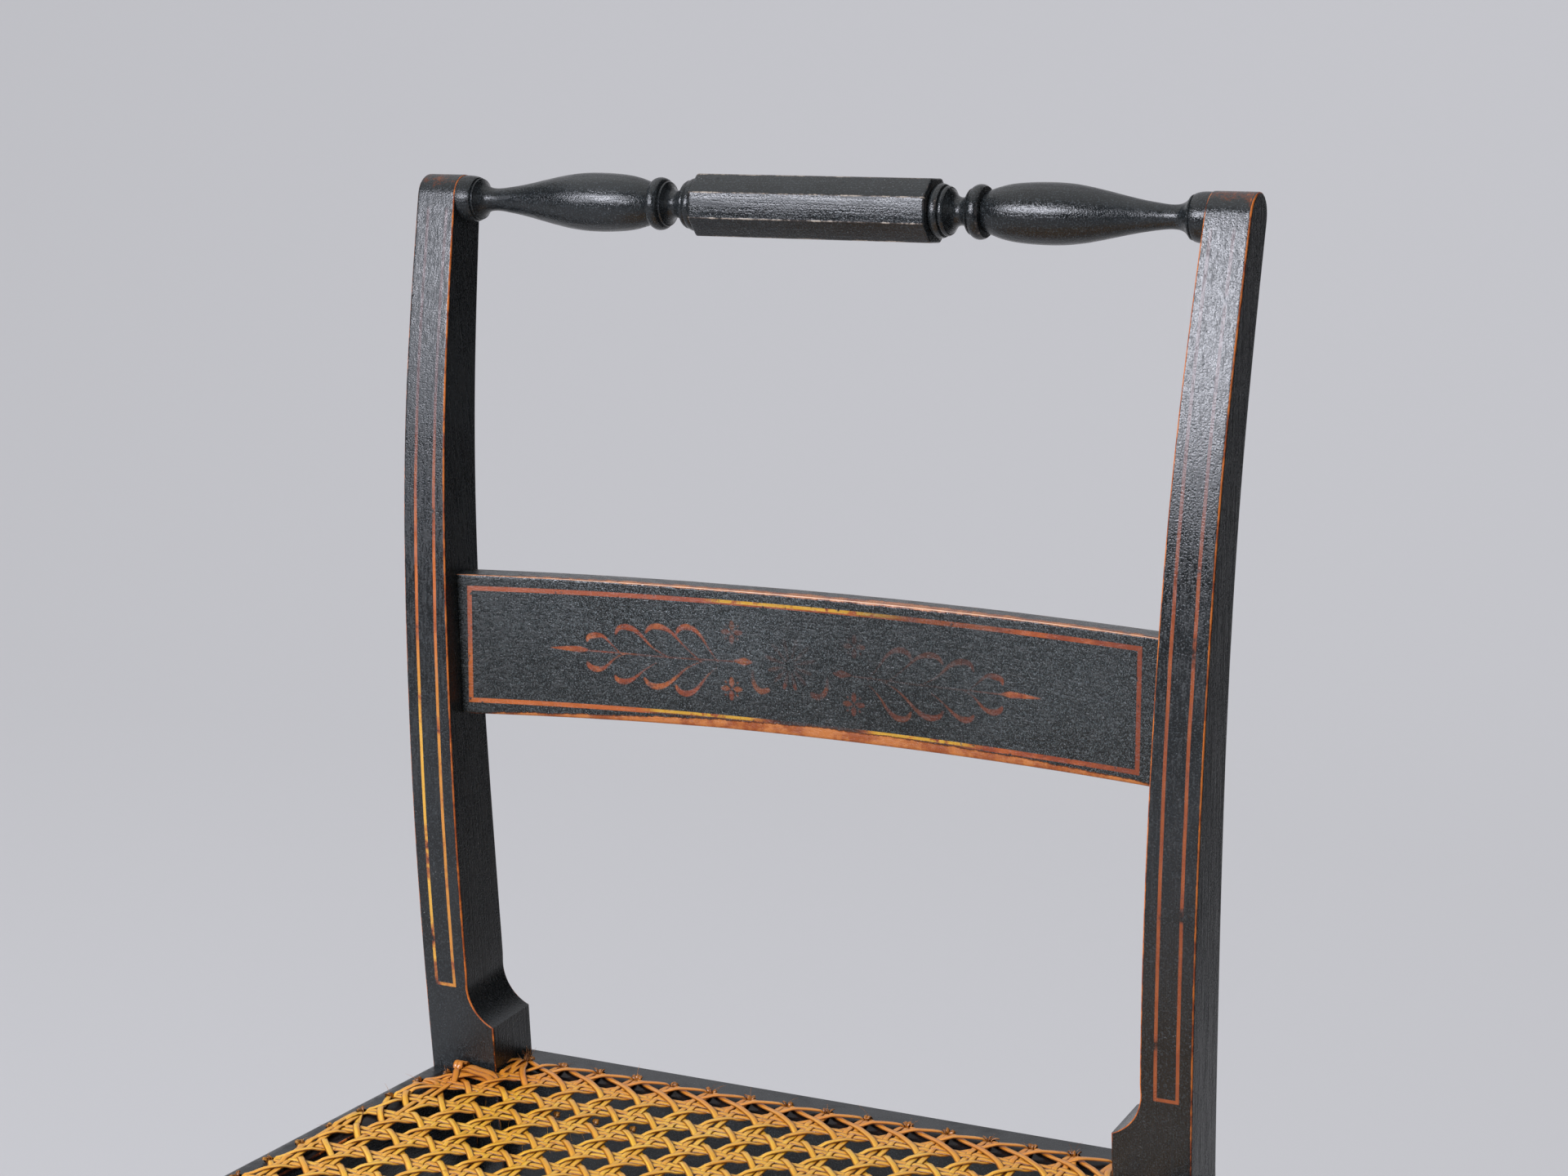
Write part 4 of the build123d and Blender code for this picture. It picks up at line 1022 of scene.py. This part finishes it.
def layPairs():
    backward, sideways = Weave(), Weave()
    for i in range(-10, 10):
        x = (i + 0.5) * pitch
        startX, startY = (x, 0.0) if abs(x) < 145 else min(
            sideHoles + cornerHoles, key=lambda h: abs(h[0] - x) + 0.02 * abs(h[1]))
        for side in (-1, 1):
            lane = x + side * pairGap
            plan = [(startX + side * 0.7, startY)] + [(lane, startY - reach) for reach in (8.5, pitch, 2 * pitch)]
            plan += [(lane, y) for y in np.arange(startY - 3 * pitch, frontRow + 30, -pitch)]
            plan += [(lane, frontRow + pitch), (lane, frontRow + 8.5), (x + side * 0.7, frontRow)]
            layStrand(backward, plan, lambda px, py, near, far: pairHeight(py, -side, np.minimum(near, far)))
    backward.finish("caneFrontToBack", ["cane_front_to_back"])
    for k in range(1, lastRow + 1):
        y = -pitch * k
        end = cornerHoles[1] if k == 1 else cornerHoles[3] if k == lastRow else (sideHoleX(y), y)
        for side in (-1, 1):
            lane = y - side * pairGap
            if k == 1:
                lead = [(end[0] - 8, -25.2 - side * 0.9), (146.0, -22.6 - side * 1.3), (128.0, lane - 0.4)]
            elif k == lastRow:
                lead = [(end[0] - 9, -351.5 - side * 1.2), (end[0] - 24, -345.5 - side * 1.6), (end[0] - 40, lane)]
            else:
                lead = [(end[0] - 8.5, lane), (end[0] - 20, lane)]
            plan = [(-end[0], end[1] - side * 0.7)] + [(-px, py) for px, py in lead]
            plan += [(px, lane) for px in np.arange(-lead[-1][0] + pitch, lead[-1][0] - 12, pitch)]
            plan += lead[::-1] + [(end[0], end[1] - side * 0.7)]
            layStrand(sideways, plan,
                      lambda px, py, near, far: pairHeight(px + pitch / 2, -side, np.minimum(near, far)))
    sideways.finish("caneSideToSide", ["cane_side_to_side"])


def diagonalPlan(n):
    # A strand that runs forward and to the right on the line x + y = n pitches.
    found = []
    for halfStep in range(1, 2 * lastRow + 2):
        y = -halfStep * pitch / 2
        x = n * pitch - y
        if abs(x) > 142.9 and y > -23.1:    # beside the block of a post
            found = []
        elif abs(x) < sideHoleX(y) - 4.3 and frontRow + 10 < y < -12:    # over the opening
            found.append((x, y))
    if len(found) < 2:
        return None

    def nearest(holes, x, y):
        return min(holes, key=lambda h: math.dist(h, (x, y)))
    (firstX, firstY), (lastX, lastY) = found[0], found[-1]
    if firstY > -1.2 * pitch:
        start = nearest(rearHoles, firstX - 1.5 * pitch, 0.0)
    else:
        start = nearest(allHoles, firstX - 12, firstY + 12)
    if lastY < frontRow + 1.2 * pitch:
        end = nearest(frontHoles + cornerHoles, lastX + 1.5 * pitch, frontRow)
    else:
        end = nearest(allHoles, lastX + 12, lastY - 12)
    # Every other place is enough, and the last one again where it closes the run.
    return [start] + found[::2] + (found[-1:] if len(found) % 2 else []) + [end]


def layDiagonals(lean, name, node):
    # Lean is 1 for forward to the right, over the side-to-side pairs, and -1 for the other set.
    weave = Weave()
    plans = [plan for plan in (diagonalPlan(n) for n in range(-30, 12)) if plan]
    plans.append([(142.5, 0), (147.6, -22.0), (160.0, -29.5), (sideHoleX(-38), -38.0)])
    plans.append([(123.5, 0), (146.0, -21.5), (166.0, -38.0), (sideHoleX(-57), -57.0)])
    # Heights from the holes inward, in pitches and millimetres.
    rise = ((0, 0.6), (0.12, 0.8), (0.333, 0.75), (0.667, 2.1), (1, 2.35)) if lean > 0 else (
        (0, 0.7), (0.12, 1.5), (0.333, 2.5), (0.667, 0.85), (1, 0.5))
    for plan in plans:
        plan = [(lean * x, y) for x, y in plan]
        rear, front = plan[0][1] > -5, plan[-1][1] < frontRow + 5
        if rear and lean < 0 and len(plan) > 4:
            plan.insert(1, (plan[0][0] - 0.36 * pitch, -0.14 * pitch))
            plan.insert(2, (plan[0][0] - 0.85 * pitch, -0.44 * pitch))

        def height(px, py, near, far):
            inside = caneBed + lean * 0.92 * np.tanh(2.0 * np.cos(2 * math.pi * py / pitch)) / 0.964
            if rear:
                inside = np.where(py > -pitch, ramped(-py / pitch, rise), inside)
            if front:
                inside = np.where(py < frontRow + pitch, ramped((py - frontRow) / pitch, rise), inside)
            sided = 0.8 + (inside - 0.8) * np.clip((np.minimum(near, far) - 2) / 10, 0, 1)
            inside = np.where((near < 14) & (not rear) | (far < 14) & (not front), sided, inside)
            return dip(np.minimum(near, far), inside)
        layStrand(weave, plan, height, jitter=0.25)
    weave.finish(name, [node])


layPairs()
layDiagonals(1, "caneDiagonalRight", "cane_diagonal_right")
layDiagonals(-1, "caneDiagonalLeft", "cane_diagonal_left")


def loopAt(weave, place, radius, halfWidth, knot, turns):
    # Rounds of cane drawn tight on themselves.
    angles = np.linspace(-0.6, turns * 2 * math.pi - 0.6, int(14 * turns))
    path = np.stack([place[0] + np.linspace(-0.5, 0.5, len(angles)) * halfWidth * 1.3 * turns,
                     place[1] + radius * np.cos(angles), place[2] + radius * np.sin(angles)], 1)
    weave.add(path, halfWidth, 0.5, knot=knot, tone=1.0)


def cornerTie(tuft, fibres):
    # At the left rear corner the cane is lashed with a thick knot and three broad strands beside the post block.
    loopAt(tuft, (-163.4, -22.4, 2.9), 2.3, 1.5, 0.3, 2.4)
    for width, path in (
            (2.3, [(-163, -22.4, 0.6), (-160.5, -22.6, 3.0), (-152, -23.9, 3.5), (-146, -25.0, 3.1),
                   (-142.6, -27.2, 1.6)]),
            (2.2, [(-163.4, -23.6, 0.6), (-160.6, -24.6, 2.7), (-152, -26.6, 3.1), (-145, -28.4, 2.8),
                   (-141.6, -30.4, 1.4)]),
            (1.6, [(-164, -23.6, 0.6), (-163, -26.5, 3.0), (-160.5, -31.5, 2.7), (-158.5, -36.5, 1.6)])):
        tuft.add(smoothed(path, 18), width, 0.5, tone=1.0, knot=0.12)
    for x, y in ((-80.8, -44.1), (-62.1, -44.7), (-100.6, -43.9)):
        loopAt(tuft, (x, y, -1.3), 1.1, 0.9, 0.75, 1.6)
    # Coarse dark fibres at the inner corner and pale ones hanging through the openings.
    for _ in range(16):
        foot = np.array((-142.6, -0.4, 0.8)) + dice.normal(0, 1.1, 3) * (1, 1, 0.2)
        way = np.array((dice.normal(0, 0.9), dice.normal(0.2, 0.6), abs(dice.normal(0.5, 0.4)) + 0.2))
        tip = foot + way / np.linalg.norm(way) * dice.uniform(3, 8)
        path = smoothed([foot, (foot + tip) / 2 + dice.normal(0, 0.5, 3), tip], 7)
        fibres.add(path, np.linspace(0.16, 0.05, 7), np.linspace(0.12, 0.04, 7), knot=dice.uniform(0.7, 1))
    for _ in range(14):
        foot = np.array((dice.uniform(-140, -60), dice.uniform(-75, -30), 0.4))
        tip = foot + (dice.normal(0, 1.5), dice.normal(0, 1.5), -dice.uniform(6, 15))
        fibres.add(smoothed([foot, (foot + tip) / 2 + dice.normal(0, 0.4, 3), tip], 7), 0.07, 0.07, tone=0.2)


def tieKnots():
    # Each hole is plugged by the cut and frayed ends of the strands tied there.
    tuft, fibres = Weave(), Weave()
    for x, y in allHoles:
        back = 1 if y > -10 else -1 if y < frontRow + 10 else 0
        outward = np.array((0.0, back)) if back else np.array((math.copysign(1.0, x), 0.0))
        beside = np.array((outward[1], -outward[0]))
        middle = np.array((x, y)) + outward * 0.9
        for share in (-1, -0.2, 0.75):
            foot = middle + beside * share * 1.3 + dice.normal(0, 0.2, 2)
            lean = dice.normal(0, 0.5) + share * 0.7
            rise = dice.uniform(0.8, 1.4)
            path = [(*foot, -2.0), (*foot, 0.4), (*(foot + beside * lean * 0.5 + outward * 0.2), rise * 0.8),
                    (*(foot + beside * lean * 0.9 + outward * dice.uniform(0.2, 0.8)), rise),
                    (*(foot + beside * lean * 1.4 + outward * dice.uniform(0.4, 1.3)),
                     rise * dice.uniform(0.5, 0.9))]
            tuft.add(smoothed(path, 9), np.linspace(1.15, 0.95, 9), np.linspace(0.55, 0.4, 9),
                     knot=dice.uniform(0.65, 1.0), tilt=dice.uniform(-0.8, 0.8))
        for _ in range(int(dice.integers(1, 4))):
            foot = np.array((*(middle + dice.normal(0, 0.8, 2)), 0.8))
            way = np.array((*dice.normal(0, 1, 2), abs(dice.normal(0.5, 0.5)) + 0.15))
            way /= np.linalg.norm(way)
            reach = dice.uniform(2.5, 7)
            bend = np.array((*dice.normal(0, 1, 2), -0.3)) * reach * 0.22
            path = smoothed([foot, foot + way * reach * 0.5 + bend * 0.2, foot + way * reach + bend], 7)
            fibres.add(path, np.linspace(0.09, 0.03, 7), np.linspace(0.09, 0.03, 7), knot=dice.uniform(0.2, 1))
    cornerTie(tuft, fibres)
    tuft.finish("caneEnds", [])
    fibres.finish("caneFibres", [])


tieKnots()
